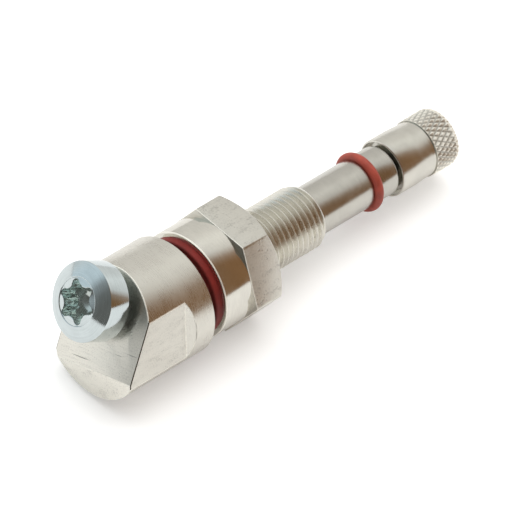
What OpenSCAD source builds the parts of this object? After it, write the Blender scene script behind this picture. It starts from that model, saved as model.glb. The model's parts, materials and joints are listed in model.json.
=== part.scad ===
// Clamp-in tyre valve with a slanted sensor foot, lying on its foot and on its clamp nut.
// Along the stem, z = 0 is the foot's sealing face: the foot lies below it and the cap above.
// +x is the side that faces up while the valve lies, and depths in the core are from the stem's tip.

/* [Foot] */
// Diameter of the round foot
foot_d = 18.5; // [17.6:0.1:22]
// Length of the foot from its sealing face to its end face
foot_len = 16; // [15:0.1:22]
// Angle between the slanted sensor face and the end face
slant_angle = 24.8; // [18:0.1:28]
// Depth below the end face at which the slanted face crosses the stem axis
slant_depth = 2.32; // [1.6:0.02:3]
// Distance from the stem axis to the side flat on the near side
near_flat_dist = 7.95; // [7.2:0.05:8.6]
// Distance from the stem axis to the side flat on the far side
far_flat_dist = 7.75; // [7.2:0.05:8.6]
// Turn of the two parallel side flats about the stem, from square to the slanted face
flat_turn = 7.2; // [0:0.1:10]
// Length of the side flats from the end face
flat_len = 11.25; // [8:0.05:12.5]
// Steepness of the run-out at the end of each side flat
flat_runout_angle = 52; // [40:1:75]
// Turn of the foot about the stem, away from the nut's upper flat
foot_turn = 21.3; // [0:0.1:30]
// Broken edge round the sealing face of the foot
foot_edge = 0.15; // [0.05:0.05:0.4]
// Diameter of the air port in the underside of the foot
port_d = 2.6; // [1.6:0.1:2.8]
// Distance of the air port from the sealing face
port_setback = 2.6; // [2:0.1:3]

/* [Sensor screw] */
// Thread diameter of the screw
screw_d = 6; // [5:0.1:6.2]
// Diameter of the screw head
screw_head_d = 11.75; // [10.5:0.05:12.2]
// Height of the head's straight side
screw_side_h = 3.9; // [3.2:0.05:4.5]
// Height of the head's cone above its straight side
screw_cone_h = 1.05; // [0.6:0.05:1.4]
// Diameter of the flat rim round the key recess
screw_rim_d = 7.1; // [6.9:0.05:8]
// Broken lower edge of the head
screw_edge = 0.25; // [0.1:0.05:0.5]
// Length of the shank under the head
screw_len = 7; // [5:0.1:7.4]
// Chamfer at the end of the shank
screw_tip_chamfer = 0.6; // [0.3:0.1:0.9]
// Gap left under the head for the sensor's bracket
screw_gap = 1.64; // [0.5:0.02:2.5]
// Distance of the screw from the stem axis, towards the high side of the foot
screw_offset = 4.59; // [4.2:0.01:5]
// Spare depth of the tapped hole below the driven-home screw
screw_spare = 0.3; // [0.2:0.05:0.6]
// Diameter over the lobes of the key recess
recess_d = 6.6; // [6:0.05:6.8]
// Diameter over the valleys of the key recess
recess_valley_d = 4.8; // [4.3:0.05:5]
// Radius of each lobe's tip
recess_lobe_r = 0.62; // [0.55:0.01:0.75]
// Turn of the key recess about the screw
recess_turn = 18; // [0:1:59]
// Depth of the key recess
recess_depth = 3; // [2:0.1:3.4]
// Depth of the drill point below the recess
recess_cone_h = 0.9; // [0.4:0.1:1.1]
// Diameter of the drill point below the recess
recess_cone_d = 4.4; // [3.6:0.1:4.6]

/* [Stem] */
// Outer diameter of the clamp thread
thread_d = 10; // [9.6:0.1:10.6]
// End of the clamp thread above the sealing face
thread_end = 27.1; // [24:0.1:32]
// Pitch of the clamp thread
thread_pitch = 1; // [0.75:0.05:1.25]
// Length of the chamfer at the end of the clamp thread
thread_chamfer_len = 0.8; // [0.4:0.1:1.2]
// Height of the chamfer at the end of the clamp thread
thread_chamfer = 0.4; // [0.2:0.05:0.6]
// Diameter of the plain upper stem
stem_d = 7.8; // [7.7:0.05:8.6]
// End of the plain upper stem above the sealing face
stem_end = 43.2; // [42.2:0.1:43.3]
// Chamfer at the end of the plain upper stem
stem_chamfer = 0.4; // [0.2:0.05:0.5]
// Outer diameter of the cap thread at the tip
tip_d = 7.7; // [7.5:0.05:7.8]
// Diameter of the relief neck below the cap thread
tip_neck_d = 6.7; // [6.3:0.05:7]
// Length of the relief neck
tip_neck_len = 1.3; // [1.2:0.1:1.8]
// End of the tip above the sealing face
tip_end = 51.4; // [50.6:0.1:52.2]
// Chamfer at the tip
tip_chamfer = 0.5; // [0.2:0.05:0.8]
// Diameter of the air bore between the valve core and the foot
air_bore_d = 3; // [2.4:0.1:3.4]

/* [Rim seal] */
// Height of the seal between the foot and the nut's collar
seal_h = 3; // [2.6:0.1:4]
// Diameter of the seal's neck
seal_neck_d = 13.6; // [12.4:0.1:14.4]
// Diameter of the seal's lip
seal_lip_d = 15.4; // [14.8:0.1:16.4]
// Height of the seal's lip
seal_lip_h = 1.25; // [0.8:0.05:1.8]
// Rounding of the lip's edges
seal_lip_round = 0.3; // [0.1:0.05:0.4]

/* [Clamp nut] */
// Diameter of the nut's round collar
collar_d = 16.8; // [15.6:0.1:17]
// Length of the collar
collar_len = 5.2; // [3.5:0.1:7]
// Chamfer at the front of the collar
collar_chamfer = 0.3; // [0.1:0.05:0.6]
// Width of the hexagon across its flats
nut_af = 17; // [16.4:0.1:17.4]
// Length of the hexagon
nut_len = 5.95; // [5:0.05:7]
// Diameter of the flat face at the hexagon's back
nut_face_d = 16.6; // [15.4:0.1:16.8]
// Radius of the dome that rounds off the hexagon's corners at the back
nut_dome_r = 15; // [13:0.5:18]
// Countersink at the back of the nut's thread
nut_countersink = 0.5; // [0.2:0.1:0.8]

/* [Stem ring] */
// Diameter of the ring's round cord
ring_cord_d = 1.5; // [1.3:0.05:1.7]
// Distance of the ring above the sealing face
ring_z = 38.7; // [36:0.1:39.5]
// Diameter of the ring's groove in the stem
ring_groove_d = 6.36; // [6:0.02:6.6]
// Width of the ring's groove
ring_groove_w = 1.7; // [1.6:0.05:2]

/* [Cap] */
// Front of the cap above the sealing face
cap_front = 43.4; // [43.3:0.1:43.6]
// Diameter of the cap's skirt
cap_skirt_d = 9.02; // [8.9:0.02:9.6]
// Length of the straight skirt
cap_skirt_len = 4.1; // [3:0.1:4.8]
// Broken edge at the skirt's front
cap_edge = 0.15; // [0.05:0.05:0.2]
// Diameter of the wider mouth inside the skirt's front
cap_mouth_d = 8.5; // [8.1:0.05:8.5]
// Depth of the mouth
cap_mouth_len = 1.2; // [0.8:0.1:1.6]
// Diameter of the neck below the knurled head
cap_neck_d = 8.7; // [8.5:0.02:8.76]
// Length of the taper from the skirt to the neck
cap_taper_len = 2; // [1:0.1:2.2]
// Start of the knurled head above the cap's front
cap_head_start = 7; // [7:0.1:8]
// Diameter over the knurl
cap_head_d = 9.22; // [9.1:0.02:9.8]
// Length of the knurled head
cap_head_len = 4.6; // [4:0.1:5.4]
// Rounding of the head's end edge
cap_round = 0.5; // [0.3:0.05:0.9]
// Number of diamonds round the knurl
knurl_count = 32; // [20:1:40]
// Depth of the knurl's grooves
knurl_depth = 0.2; // [0.1:0.01:0.22]
// Slope of the knurl's grooves from the stem direction
knurl_angle = 30; // [25:1:45]
// Thickness of the cap's gasket
gasket_t = 0.9; // [0.6:0.1:1.2]
// Diameter of the hole in the cap's gasket
gasket_hole_d = 3.4; // [2.4:0.1:4]

/* [Valve core] */
// Outer diameter of the threaded plug
plug_d = 5.1; // [4.9:0.05:5.2]
// Depth of the plug below the tip
plug_depth = 1; // [0.7:0.1:1.4]
// Length of the plug
plug_len = 4.6; // [4:0.1:5]
// Width of the plug's key tongue
plug_tongue_w = 3; // [2.6:0.1:3.4]
// Length of the plug's key tongue
plug_tongue_len = 1.6; // [1:0.1:2]
// Diameter of the air and pin hole in the plug
plug_hole_d = 2; // [1.7:0.05:2.2]
// Depth of the swivel seat in the lower end of the plug
swivel_h = 1.6; // [1.2:0.1:1.8]
// Diameter of the barrel's swivel head
swivel_d = 3; // [2.8:0.05:3.1]
// Thickness of the flange above the barrel's seal
barrel_flange_h = 0.4; // [0.3:0.05:0.6]
// Diameter of the flange above the barrel's seal
barrel_flange_d = 4.2; // [4:0.05:4.4]
// Diameter of the barrel's tube
barrel_d = 2.9; // [2.8:0.05:3]
// Length of the tube below the barrel's seal
barrel_tube_len = 7.4; // [6:0.1:8]
// Diameter of the bore in the barrel
barrel_bore_d = 2.2; // [2.1:0.05:2.3]
// Diameter of the pin's hole in the floor of the barrel
barrel_floor_hole_d = 1.5; // [1.3:0.05:1.6]
// Thickness of the floor of the barrel
barrel_floor_h = 1; // [0.6:0.1:1.2]
// Height of the barrel's tapered seal
barrel_seal_h = 2.5; // [2:0.1:3]
// Diameter of the tapered seal at its upper end
barrel_seal_d = 4.56; // [4.5:0.02:4.7]
// Narrowing of the tapered seal over its height
barrel_seal_taper = 0.6; // [0.4:0.05:0.7]
// Diameter of the core's pin
pin_d = 1; // [0.8:0.05:1.1]
// Depth of the pin's button below the tip
pin_depth = 0.25; // [0.1:0.05:0.5]
// Diameter of the pin's button
button_d = 1.4; // [1.2:0.05:1.6]
// Height of the pin's button
button_h = 0.9; // [0.5:0.1:1.2]
// Height of the collar on the pin that carries the spring
pin_collar_h = 0.5; // [0.3:0.05:0.7]
// Length of the fitted spring
spring_len = 5.6; // [4.6:0.1:5.8]
// Wire diameter of the spring
spring_wire = 0.28; // [0.24:0.02:0.3]
// Turns of the spring
spring_turns = 7; // [5:1:8]
// Diameter of the poppet's cup
cup_d = 3; // [2.8:0.05:3.2]
// Height of the poppet's cup
cup_h = 1; // [0.7:0.1:1.3]
// Diameter of the poppet's seal
poppet_seal_d = 2.7; // [2.5:0.05:2.8]
// Thickness of the poppet's seal
poppet_seal_h = 0.7; // [0.5:0.05:0.9]
// Height of the rivet at the pin's lower end
rivet_h = 0.4; // [0.2:0.05:0.6]
// Diameter of the chamber below the core's thread
chamber_d = 3.8; // [3.7:0.05:3.9]
// Free travel below the poppet in the chamber
chamber_spare = 3; // [2:0.1:4]

/* [Fits] */
// Radial clearance between a thread and what turns on it
thread_fit = 0.05; // [0.02:0.01:0.08]
// Radial clearance between a seal and its seat
seal_fit = 0.02; // [0.01:0.01:0.04]
// Clearance round loose pieces in the core
core_fit = 0.08; // [0.05:0.01:0.1]

/* [Hidden] */
$fn = 96;

nickel = [0.80, 0.77, 0.71];
bright_nickel = [0.84, 0.81, 0.76];
zinc = [0.72, 0.76, 0.80];
brass = [0.80, 0.65, 0.35];
spring_steel = [0.62, 0.62, 0.64];
seal_red = [0.48, 0.12, 0.10];
ring_red = [0.66, 0.24, 0.17];
rubber_black = [0.10, 0.10, 0.10];
seal_white = [0.90, 0.89, 0.85];

// A length that reaches past the whole foot, for the cuts
reach = 4 * foot_d;
// Overlap of a cut past the face that it opens
over = 1;

foot_r = foot_d / 2;
thread_r = thread_d / 2;
stem_r = stem_d / 2;
tip_r = tip_d / 2;
nut_front = seal_h;
nut_hex_z = nut_front + collar_len;
nut_back = nut_hex_z + nut_len;
nut_dome_z = nut_back - sqrt(nut_dome_r ^ 2 - (nut_face_d / 2) ^ 2);
nut_flat_back = min(nut_back, nut_dome_z + sqrt(nut_dome_r ^ 2 - (nut_af / 2) ^ 2));

// Crests and roots of the clamp thread have the same width, as a share of the pitch
thread_flat = 1 / 8;
thread_flank = 30;
thread_root_r = thread_r - (1 / 2 - thread_flat) * thread_pitch / tan(thread_flank);
thread_steps = [-thread_flat / 2, thread_flat / 2, 1 / 2 - thread_flat / 2, 1 / 2 + thread_flat / 2];
thread_rows = len(thread_steps);
thread_columns = 32;
thread_low = floor(seal_h / thread_pitch) - 1;
thread_turns = ceil(thread_end / thread_pitch) - thread_low + 1;
thread_least = thread_pitch * thread_flat / 2;

// The valve lies on the foot's back edge and on the back edge of the nut's lower flat
tilt = atan((foot_r - nut_af / 2) / (nut_flat_back + foot_edge));

// The screw stands square on the slanted face
slant_z = -foot_len + slant_depth;
screw_z = slant_z + screw_offset * tan(slant_angle);
screw_r = screw_d / 2;
screw_head_r = screw_head_d / 2;
screw_rim_r = screw_rim_d / 2;
screw_hole_r = screw_r + thread_fit;
screw_hole_depth = screw_len + screw_spare;
screw_head_h = screw_side_h + screw_cone_h;

// Lobes and valleys of the key recess are arcs that touch each other
lobe_centre = recess_d / 2 - recess_lobe_r;
valley_reach = recess_valley_d / 2;
half_lobe = 30;
valley_r = (recess_lobe_r ^ 2 - valley_reach ^ 2 - lobe_centre ^ 2
    + 2 * valley_reach * lobe_centre * cos(half_lobe))
    / (2 * (valley_reach - lobe_centre * cos(half_lobe) - recess_lobe_r));
valley_centre = valley_reach + valley_r;
lobe_sweep = atan2(valley_centre * sin(half_lobe), valley_centre * cos(half_lobe) - lobe_centre);
valley_sweep = atan2(lobe_centre * sin(half_lobe), valley_centre - lobe_centre * cos(half_lobe));

ring_groove_r = ring_groove_d / 2;
ring_cord_r = ring_cord_d / 2;
ring_centre_r = ring_groove_r + ring_cord_r;

cap_bore_r = tip_r + thread_fit;
cap_bore_top = tip_end + gasket_t;
cap_head_z = cap_front + cap_head_start;
cap_end = cap_head_z + cap_head_len;
cap_head_r = cap_head_d / 2;
knurl_pitch = PI * cap_head_d / knurl_count / tan(knurl_angle);
knurl_rows = max(2, round(2 * cap_head_len / knurl_pitch));
knurl_row_h = cap_head_len / knurl_rows;

// Depths below the tip, from the plug down to the rivet
plug_r = plug_d / 2;
plug_end = plug_depth + plug_len;
swivel_depth = plug_end - swivel_h;
swivel_r = swivel_d / 2;
barrel_flange_depth = plug_end + core_fit;
barrel_seal_depth = barrel_flange_depth + barrel_flange_h;
barrel_seal_end = barrel_seal_depth + barrel_seal_h;
barrel_end = barrel_seal_end + barrel_tube_len;
barrel_r = barrel_d / 2;
barrel_bore_r = barrel_bore_d / 2;
spring_end = barrel_end - barrel_floor_h;
spring_start = spring_end - spring_len;
spring_mean_r = barrel_bore_r - core_fit - spring_wire / 2;
pin_r = pin_d / 2;
pin_collar_r = barrel_bore_r - core_fit;
poppet_depth = barrel_end + poppet_seal_h;
cup_end = poppet_depth + cup_h;
rivet_end = cup_end + rivet_h;
rivet_r = pin_r + rivet_h;
chamber_end = rivet_end + chamber_spare;
seat_r = barrel_seal_d / 2 + seal_fit;
seat_slope = barrel_seal_taper / 2 / barrel_seal_h;

// Height on the stem of a depth below the tip
function at_depth(depth) = tip_end - depth;

// Radius of the cap's head at a height, rounded towards its end
function head_r(z) =
    let (past = z - (cap_end - cap_round))
    past <= 0 ? cap_head_r : cap_head_r - cap_round + sqrt(max(0, cap_round ^ 2 - past ^ 2));

// Lays the stem down, with the origin on its axis at the sealing face
module lying() {
    rotate([0, 90 + tilt, 0]) rotate([0, 0, 180]) children();
}

// Turns the foot's own features about the stem, +x towards the high side of the foot
module on_foot() {
    rotate([0, 0, -foot_turn]) children();
}

// Puts +z square out of the slanted face, at a distance from the stem axis
module on_slant(offset_x) {
    on_foot()
        translate([offset_x, 0, slant_z + offset_x * tan(slant_angle)])
            rotate([0, 180 - slant_angle, 0]) children();
}

// A ring or a plug between two depths below the tip
module core_ring(outer_r, inner_r, top, bottom) {
    translate([0, 0, at_depth(bottom)]) difference() {
        cylinder(r = outer_r, h = bottom - top);
        translate([0, 0, -over]) cylinder(r = inner_r, h = bottom - top + 2 * over);
    }
}

// Turned outline of the foot, the threaded stem and the tip
module body_blank() {
    rotate_extrude() polygon([
        [0, -foot_len],
        [foot_r, -foot_len],
        [foot_r, -foot_edge],
        [foot_r - foot_edge, 0],
        [thread_r, 0],
        [thread_r, seal_h],
        [stem_r, seal_h],
        [stem_r, thread_end],
        [stem_r, ring_z - ring_groove_w / 2],
        [ring_groove_r, ring_z - ring_groove_w / 2],
        [ring_groove_r, ring_z + ring_groove_w / 2],
        [stem_r, ring_z + ring_groove_w / 2],
        [stem_r, stem_end - stem_chamfer],
        [stem_r - stem_chamfer, stem_end],
        [tip_neck_d / 2, stem_end],
        [tip_neck_d / 2, stem_end + tip_neck_len],
        [tip_r, stem_end + tip_neck_len],
        [tip_r, tip_end - tip_chamfer],
        [tip_r - tip_chamfer, tip_end],
        [0, tip_end]
    ]);
}

// Height of a row of the clamp thread: the rows of each turn follow the helix
function thread_z(column, row) =
    let (turn = floor(row / thread_rows) + column / thread_columns)
    thread_pitch * (thread_low + turn + thread_steps[row % thread_rows]);

// Radius of a row of the clamp thread: crest, crest, root, root, and chamfered towards the end
function thread_row_r(row, z) =
    let (past = max(0, z - thread_end + thread_chamfer_len) / thread_chamfer_len)
    min(row % thread_rows < 2 ? thread_r : thread_root_r, thread_r - thread_chamfer * past);

// A point of the clamp thread
function thread_point(column, r, z) =
    let (angle = 360 * column / thread_columns) [r * cos(angle), r * sin(angle), z];

// Helical clamp thread between the seal and the plain stem
module clamp_thread() {
    n = thread_columns;
    rows = thread_rows * thread_turns;
    points = [
        for (column = [0:n - 1]) thread_point(column, thread_root_r, seal_h),
        for (column = [0:n - 1]) thread_point(column, thread_r - thread_chamfer, thread_end),
        [0, 0, seal_h],
        [0, 0, thread_end],
        for (column = [0:n - 1]) for (row = [0:rows + thread_rows])
            let (z = thread_z(column, row)) thread_point(column, thread_row_r(row, z), z)
    ];
    low_centre = 2 * n;
    high_centre = low_centre + 1;
    // Rows past an end fall on its rim, and past the last column the helix is one turn higher
    at = function (column, row)
        column == n ? at(0, row + thread_rows)
        : thread_z(column, row) < seal_h + thread_least ? column
        : thread_z(column, row) > thread_end - thread_least ? n + column
        : high_centre + 1 + column * (rows + thread_rows + 1) + row;
    polyhedron(points, [
        for (column = [0:n - 1]) [low_centre, column, (column + 1) % n],
        for (column = [0:n - 1]) [high_centre, n + (column + 1) % n, n + column],
        for (column = [0:n - 1]) for (row = [0:rows - 1]) for (face = [
            [at(column, row), at(column, row + 1), at(column + 1, row)],
            [at(column + 1, row), at(column, row + 1), at(column + 1, row + 1)]
        ]) if (face[0] != face[1] && face[1] != face[2] && face[2] != face[0]) face
    ]);
}

// Milled flat on the +y side of the foot, with its sloping run-out
module side_flat_cut(flat_dist) {
    flat_end = -foot_len + flat_len;
    runout_h = foot_r;
    rotate([0, -90, 0])
        linear_extrude(height = reach, center = true) polygon([
            [-foot_len - over, flat_dist],
            [flat_end, flat_dist],
            [flat_end + runout_h / tan(flat_runout_angle), flat_dist + runout_h],
            [-foot_len - over, flat_dist + runout_h]
        ]);
}

// Bore of the stem: core thread, tapered seat, chamber and air bore, down to the port
module stem_bore() {
    thread_bore_end = barrel_seal_depth - barrel_flange_h / 2;
    seat_end = barrel_seal_end + barrel_flange_h;
    seat_top_r = seat_r + seat_slope * barrel_flange_h / 2;
    seat_low_r = seat_r - seat_slope * (seat_end - barrel_seal_depth);
    rotate_extrude() polygon([
        [0, -port_setback - port_d / 2],
        [air_bore_d / 2, -port_setback - port_d / 2],
        [air_bore_d / 2, at_depth(chamber_end)],
        [min(chamber_d / 2, seat_low_r), at_depth(chamber_end)],
        [min(chamber_d / 2, seat_low_r), at_depth(seat_end)],
        [seat_low_r, at_depth(seat_end)],
        [seat_top_r, at_depth(thread_bore_end)],
        [plug_r + thread_fit, at_depth(thread_bore_end)],
        [plug_r + thread_fit, tip_end + over],
        [0, tip_end + over]
    ]);
}

module valve_body() {
    color(nickel) lying() difference() {
        union() {
            body_blank();
            clamp_thread();
        }
        on_slant(0) translate([-reach / 2, -reach / 2, 0]) cube(reach);
        on_foot() rotate([0, 0, flat_turn]) {
            side_flat_cut(near_flat_dist);
            rotate([0, 0, 180]) side_flat_cut(far_flat_dist);
        }
        on_slant(screw_offset)
            translate([0, 0, -screw_hole_depth]) cylinder(r = screw_hole_r, h = screw_hole_depth + over);
        on_foot() translate([0, 0, -port_setback])
            rotate([0, -90, 0]) cylinder(d = port_d, h = foot_r + over);
        stem_bore();
    }
}

// Moulded seal that fills the rim hole with its neck and meets the collar with its lip
module rim_seal() {
    lip_r = seal_lip_d / 2;
    lip_z = seal_h - seal_lip_h;
    color(seal_red) lying() rotate_extrude() difference() {
        union() {
            translate([thread_r, 0]) square([seal_neck_d / 2 - thread_r, seal_h]);
            translate([thread_r, lip_z]) square([lip_r - seal_lip_round - thread_r, seal_lip_h]);
            translate([thread_r, lip_z + seal_lip_round])
                square([lip_r - thread_r, seal_lip_h - 2 * seal_lip_round]);
            for (z = [lip_z + seal_lip_round, seal_h - seal_lip_round])
                translate([lip_r - seal_lip_round, z]) circle(r = seal_lip_round);
        }
        square([thread_r, seal_h]);
    }
}

// One-piece nut turned from hexagon bar, with a round collar towards the rim
module clamp_nut() {
    bore_r = thread_r + thread_fit;
    collar_r = collar_d / 2;
    hex_corner_d = nut_af / cos(30);
    color(bright_nickel) lying() difference() {
        union() {
            rotate_extrude() polygon([
                [0, nut_front],
                [collar_r - collar_chamfer, nut_front],
                [collar_r, nut_front + collar_chamfer],
                [collar_r, nut_hex_z + nut_len / 2],
                [0, nut_hex_z + nut_len / 2]
            ]);
            intersection() {
                translate([0, 0, nut_hex_z]) rotate([0, 0, 30])
                    cylinder(d = hex_corner_d, h = nut_len, $fn = 6);
                translate([0, 0, nut_dome_z]) sphere(r = nut_dome_r);
            }
        }
        translate([0, 0, nut_front - over]) cylinder(r = bore_r, h = nut_back - nut_front + 2 * over);
        translate([0, 0, nut_back - nut_countersink])
            cylinder(r1 = bore_r, r2 = bore_r + nut_countersink + over, h = nut_countersink + over);
    }
}

// Round-cord ring in the groove of the upper stem
module stem_ring() {
    color(ring_red) lying() translate([0, 0, ring_z])
        rotate_extrude() translate([ring_centre_r, 0]) circle(r = ring_cord_r);
}

// Head of the cap: small pyramids between two crossing sets of spiral grooves
module knurled_head() {
    columns = 2 * knurl_count;
    rows = knurl_rows;
    function at(row, column) = row * columns + (column + columns) % columns;
    ring_points = [
        for (row = [0:rows], column = [0:columns - 1])
            let (
                z = cap_head_z + row * knurl_row_h,
                r = head_r(z) - ((row + column) % 2 == 0 ? knurl_depth : 0),
                turn = column * 180 / knurl_count
            )
            [r * cos(turn), r * sin(turn), z]
    ];
    low_centre = len(ring_points);
    high_centre = low_centre + 1;
    points = [each ring_points, [0, 0, cap_head_z], [0, 0, cap_end]];
    faces = [
        for (column = [0:columns - 1]) each [
            [low_centre, at(0, column), at(0, column + 1)],
            [high_centre, at(rows, column + 1), at(rows, column)]
        ],
        for (row = [0:rows], column = [0:columns - 1])
            if ((row + column) % 2 == 1) each [
                if (row < rows) [at(row, column), at(row + 1, column), at(row, column + 1)],
                if (row < rows) [at(row, column), at(row, column - 1), at(row + 1, column)],
                if (row > 0) [at(row, column), at(row - 1, column), at(row, column - 1)],
                if (row > 0) [at(row, column), at(row, column + 1), at(row - 1, column)]
            ]
    ];
    polyhedron(points, faces);
}

module valve_cap() {
    skirt_r = cap_skirt_d / 2;
    neck_r = cap_neck_d / 2;
    taper_z = cap_front + cap_skirt_len;
    neck_top = cap_head_z + cap_head_len / 2;
    color(nickel) lying() difference() {
        union() {
            rotate_extrude() polygon([
                [0, cap_front],
                [skirt_r - cap_edge, cap_front],
                [skirt_r, cap_front + cap_edge],
                [skirt_r, taper_z],
                [neck_r, taper_z + cap_taper_len],
                [neck_r, neck_top],
                [0, neck_top]
            ]);
            knurled_head();
        }
        translate([0, 0, cap_front - over]) {
            cylinder(r = cap_bore_r, h = cap_bore_top - cap_front + over);
            cylinder(d = cap_mouth_d, h = cap_mouth_len + over);
        }
    }
}

// Flat gasket in the top of the cap, pressed against the tip
module cap_gasket() {
    color(rubber_black) lying() translate([0, 0, tip_end]) difference() {
        cylinder(r = cap_bore_r - thread_fit, h = gasket_t);
        translate([0, 0, -over]) cylinder(d = gasket_hole_d, h = gasket_t + 2 * over);
    }
}

// A point at a radius and an angle
function polar(r, angle) = [r * cos(angle), r * sin(angle)];

// Outline of the six-lobe key recess, one lobe and one valley at a time
module recess_outline() {
    steps = 8;
    polygon([
        for (turn = [0:2 * half_lobe:330]) each [
            for (i = [0:steps])
                polar(lobe_centre, turn) + polar(recess_lobe_r, turn + lobe_sweep * (2 * i / steps - 1)),
            for (i = [1:steps - 1])
                polar(valley_centre, turn + half_lobe)
                    + polar(valley_r, turn + half_lobe + 180 - valley_sweep * (2 * i / steps - 1))
        ]
    ]);
}

// Pan-head screw, backed out by the thickness of the bracket that it clamps
module sensor_screw() {
    color(zinc) lying() on_slant(screw_offset) translate([0, 0, screw_gap]) difference() {
        rotate_extrude() polygon([
            [0, -screw_len],
            [screw_r - screw_tip_chamfer, -screw_len],
            [screw_r, -screw_len + screw_tip_chamfer],
            [screw_r, 0],
            [screw_head_r - screw_edge, 0],
            [screw_head_r, screw_edge],
            [screw_head_r, screw_side_h],
            [screw_rim_r, screw_head_h],
            [0, screw_head_h]
        ]);
        translate([0, 0, screw_head_h - recess_depth]) rotate([0, 0, recess_turn])
            linear_extrude(height = recess_depth + over) recess_outline();
        translate([0, 0, screw_head_h - recess_depth]) rotate_extrude() polygon([
            [0, -recess_cone_h],
            [recess_cone_d / 2, 0],
            [recess_cone_d / 2, recess_depth],
            [0, recess_depth]
        ]);
    }
}

// Threaded plug of the core, with a tongue for the key and a seat for the swivelling barrel
module core_plug() {
    tongue_bottom = plug_depth + plug_tongue_len;
    color(brass) lying() difference() {
        core_ring(plug_r, plug_hole_d / 2, plug_depth, plug_end);
        core_ring(swivel_r + core_fit, 0, swivel_depth, plug_end + over);
        for (side = [0, 180]) rotate([0, 0, side])
            translate([plug_tongue_w / 2, -plug_d, at_depth(tongue_bottom)])
                cube([plug_d, 2 * plug_d, plug_tongue_len + over]);
    }
}

// Barrel that hangs in the plug and carries the tapered seal, the spring and the pin
module core_barrel() {
    color(brass) lying() difference() {
        union() {
            core_ring(swivel_r, 0, swivel_depth, barrel_flange_depth);
            core_ring(barrel_flange_d / 2, 0, barrel_flange_depth, barrel_seal_depth);
            core_ring(barrel_r, 0, barrel_seal_depth, barrel_end);
        }
        core_ring(barrel_bore_r, 0, swivel_depth - over, spring_end);
        core_ring(barrel_floor_hole_d / 2, 0, spring_end - over, barrel_end + over);
    }
}

// Tapered seal between the barrel and its seat in the stem
module barrel_seal() {
    top_r = barrel_seal_d / 2;
    color(seal_white) lying() difference() {
        translate([0, 0, at_depth(barrel_seal_end)])
            cylinder(r1 = top_r - barrel_seal_taper / 2, r2 = top_r, h = barrel_seal_h);
        translate([0, 0, at_depth(barrel_seal_end) - over])
            cylinder(r = barrel_r, h = barrel_seal_h + 2 * over);
    }
}

// Pin with its button at the tip, its spring collar and its riveted lower end
module core_pin() {
    color(brass) lying() rotate_extrude() polygon([
        [0, at_depth(pin_depth)],
        [button_d / 2, at_depth(pin_depth)],
        [button_d / 2, at_depth(pin_depth + button_h)],
        [pin_r, at_depth(pin_depth + button_h)],
        [pin_r, at_depth(spring_start - pin_collar_h)],
        [pin_collar_r, at_depth(spring_start - pin_collar_h)],
        [pin_collar_r, at_depth(spring_start)],
        [pin_r, at_depth(spring_start)],
        [pin_r, at_depth(cup_end)],
        [rivet_r, at_depth(cup_end)],
        [pin_r, at_depth(rivet_end)],
        [0, at_depth(rivet_end)]
    ]);
}

// Coil spring between the barrel's floor and the pin's collar
module core_spring() {
    sides = 6;
    steps = 12;
    wire_r = spring_wire / 2;
    rings = spring_turns * steps;
    climb = spring_len - spring_wire;
    points = [
        for (ring = [0:rings], side = [0:sides - 1])
            let (
                turn = ring * 360 / steps,
                round_wire = side * 360 / sides,
                r = spring_mean_r + wire_r * cos(round_wire),
                z = at_depth(spring_end) + wire_r + climb * ring / rings + wire_r * sin(round_wire)
            )
            [r * cos(turn), r * sin(turn), z]
    ];
    faces = [
        [for (side = [sides - 1:-1:0]) side],
        [for (side = [0:sides - 1]) rings * sides + side],
        for (ring = [0:rings - 1], side = [0:sides - 1])
            let (next = (side + 1) % sides)
            [ring * sides + side, ring * sides + next, (ring + 1) * sides + next, (ring + 1) * sides + side]
    ];
    color(spring_steel) lying() polyhedron(points, faces);
}

// Cup on the lower end of the pin that backs the poppet's seal
module poppet_cup() {
    color(brass) lying() core_ring(cup_d / 2, pin_r, poppet_depth, cup_end);
}

// Soft seal that closes the floor of the barrel
module poppet_seal() {
    color(rubber_black) lying() core_ring(poppet_seal_d / 2, pin_r, barrel_end, poppet_depth);
}

valve_body();
rim_seal();
clamp_nut();
stem_ring();
valve_cap();
cap_gasket();
sensor_screw();
core_plug();
core_barrel();
barrel_seal();
core_pin();
core_spring();
poppet_cup();
poppet_seal();
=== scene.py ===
"""Looks of a clamp-in tyre valve, built round its packed CAD model."""

import json
import math

import bmesh
import bpy
from bpy.props import FloatProperty, FloatVectorProperty, IntProperty, PointerProperty
from mathutils import Matrix, Vector


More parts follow.
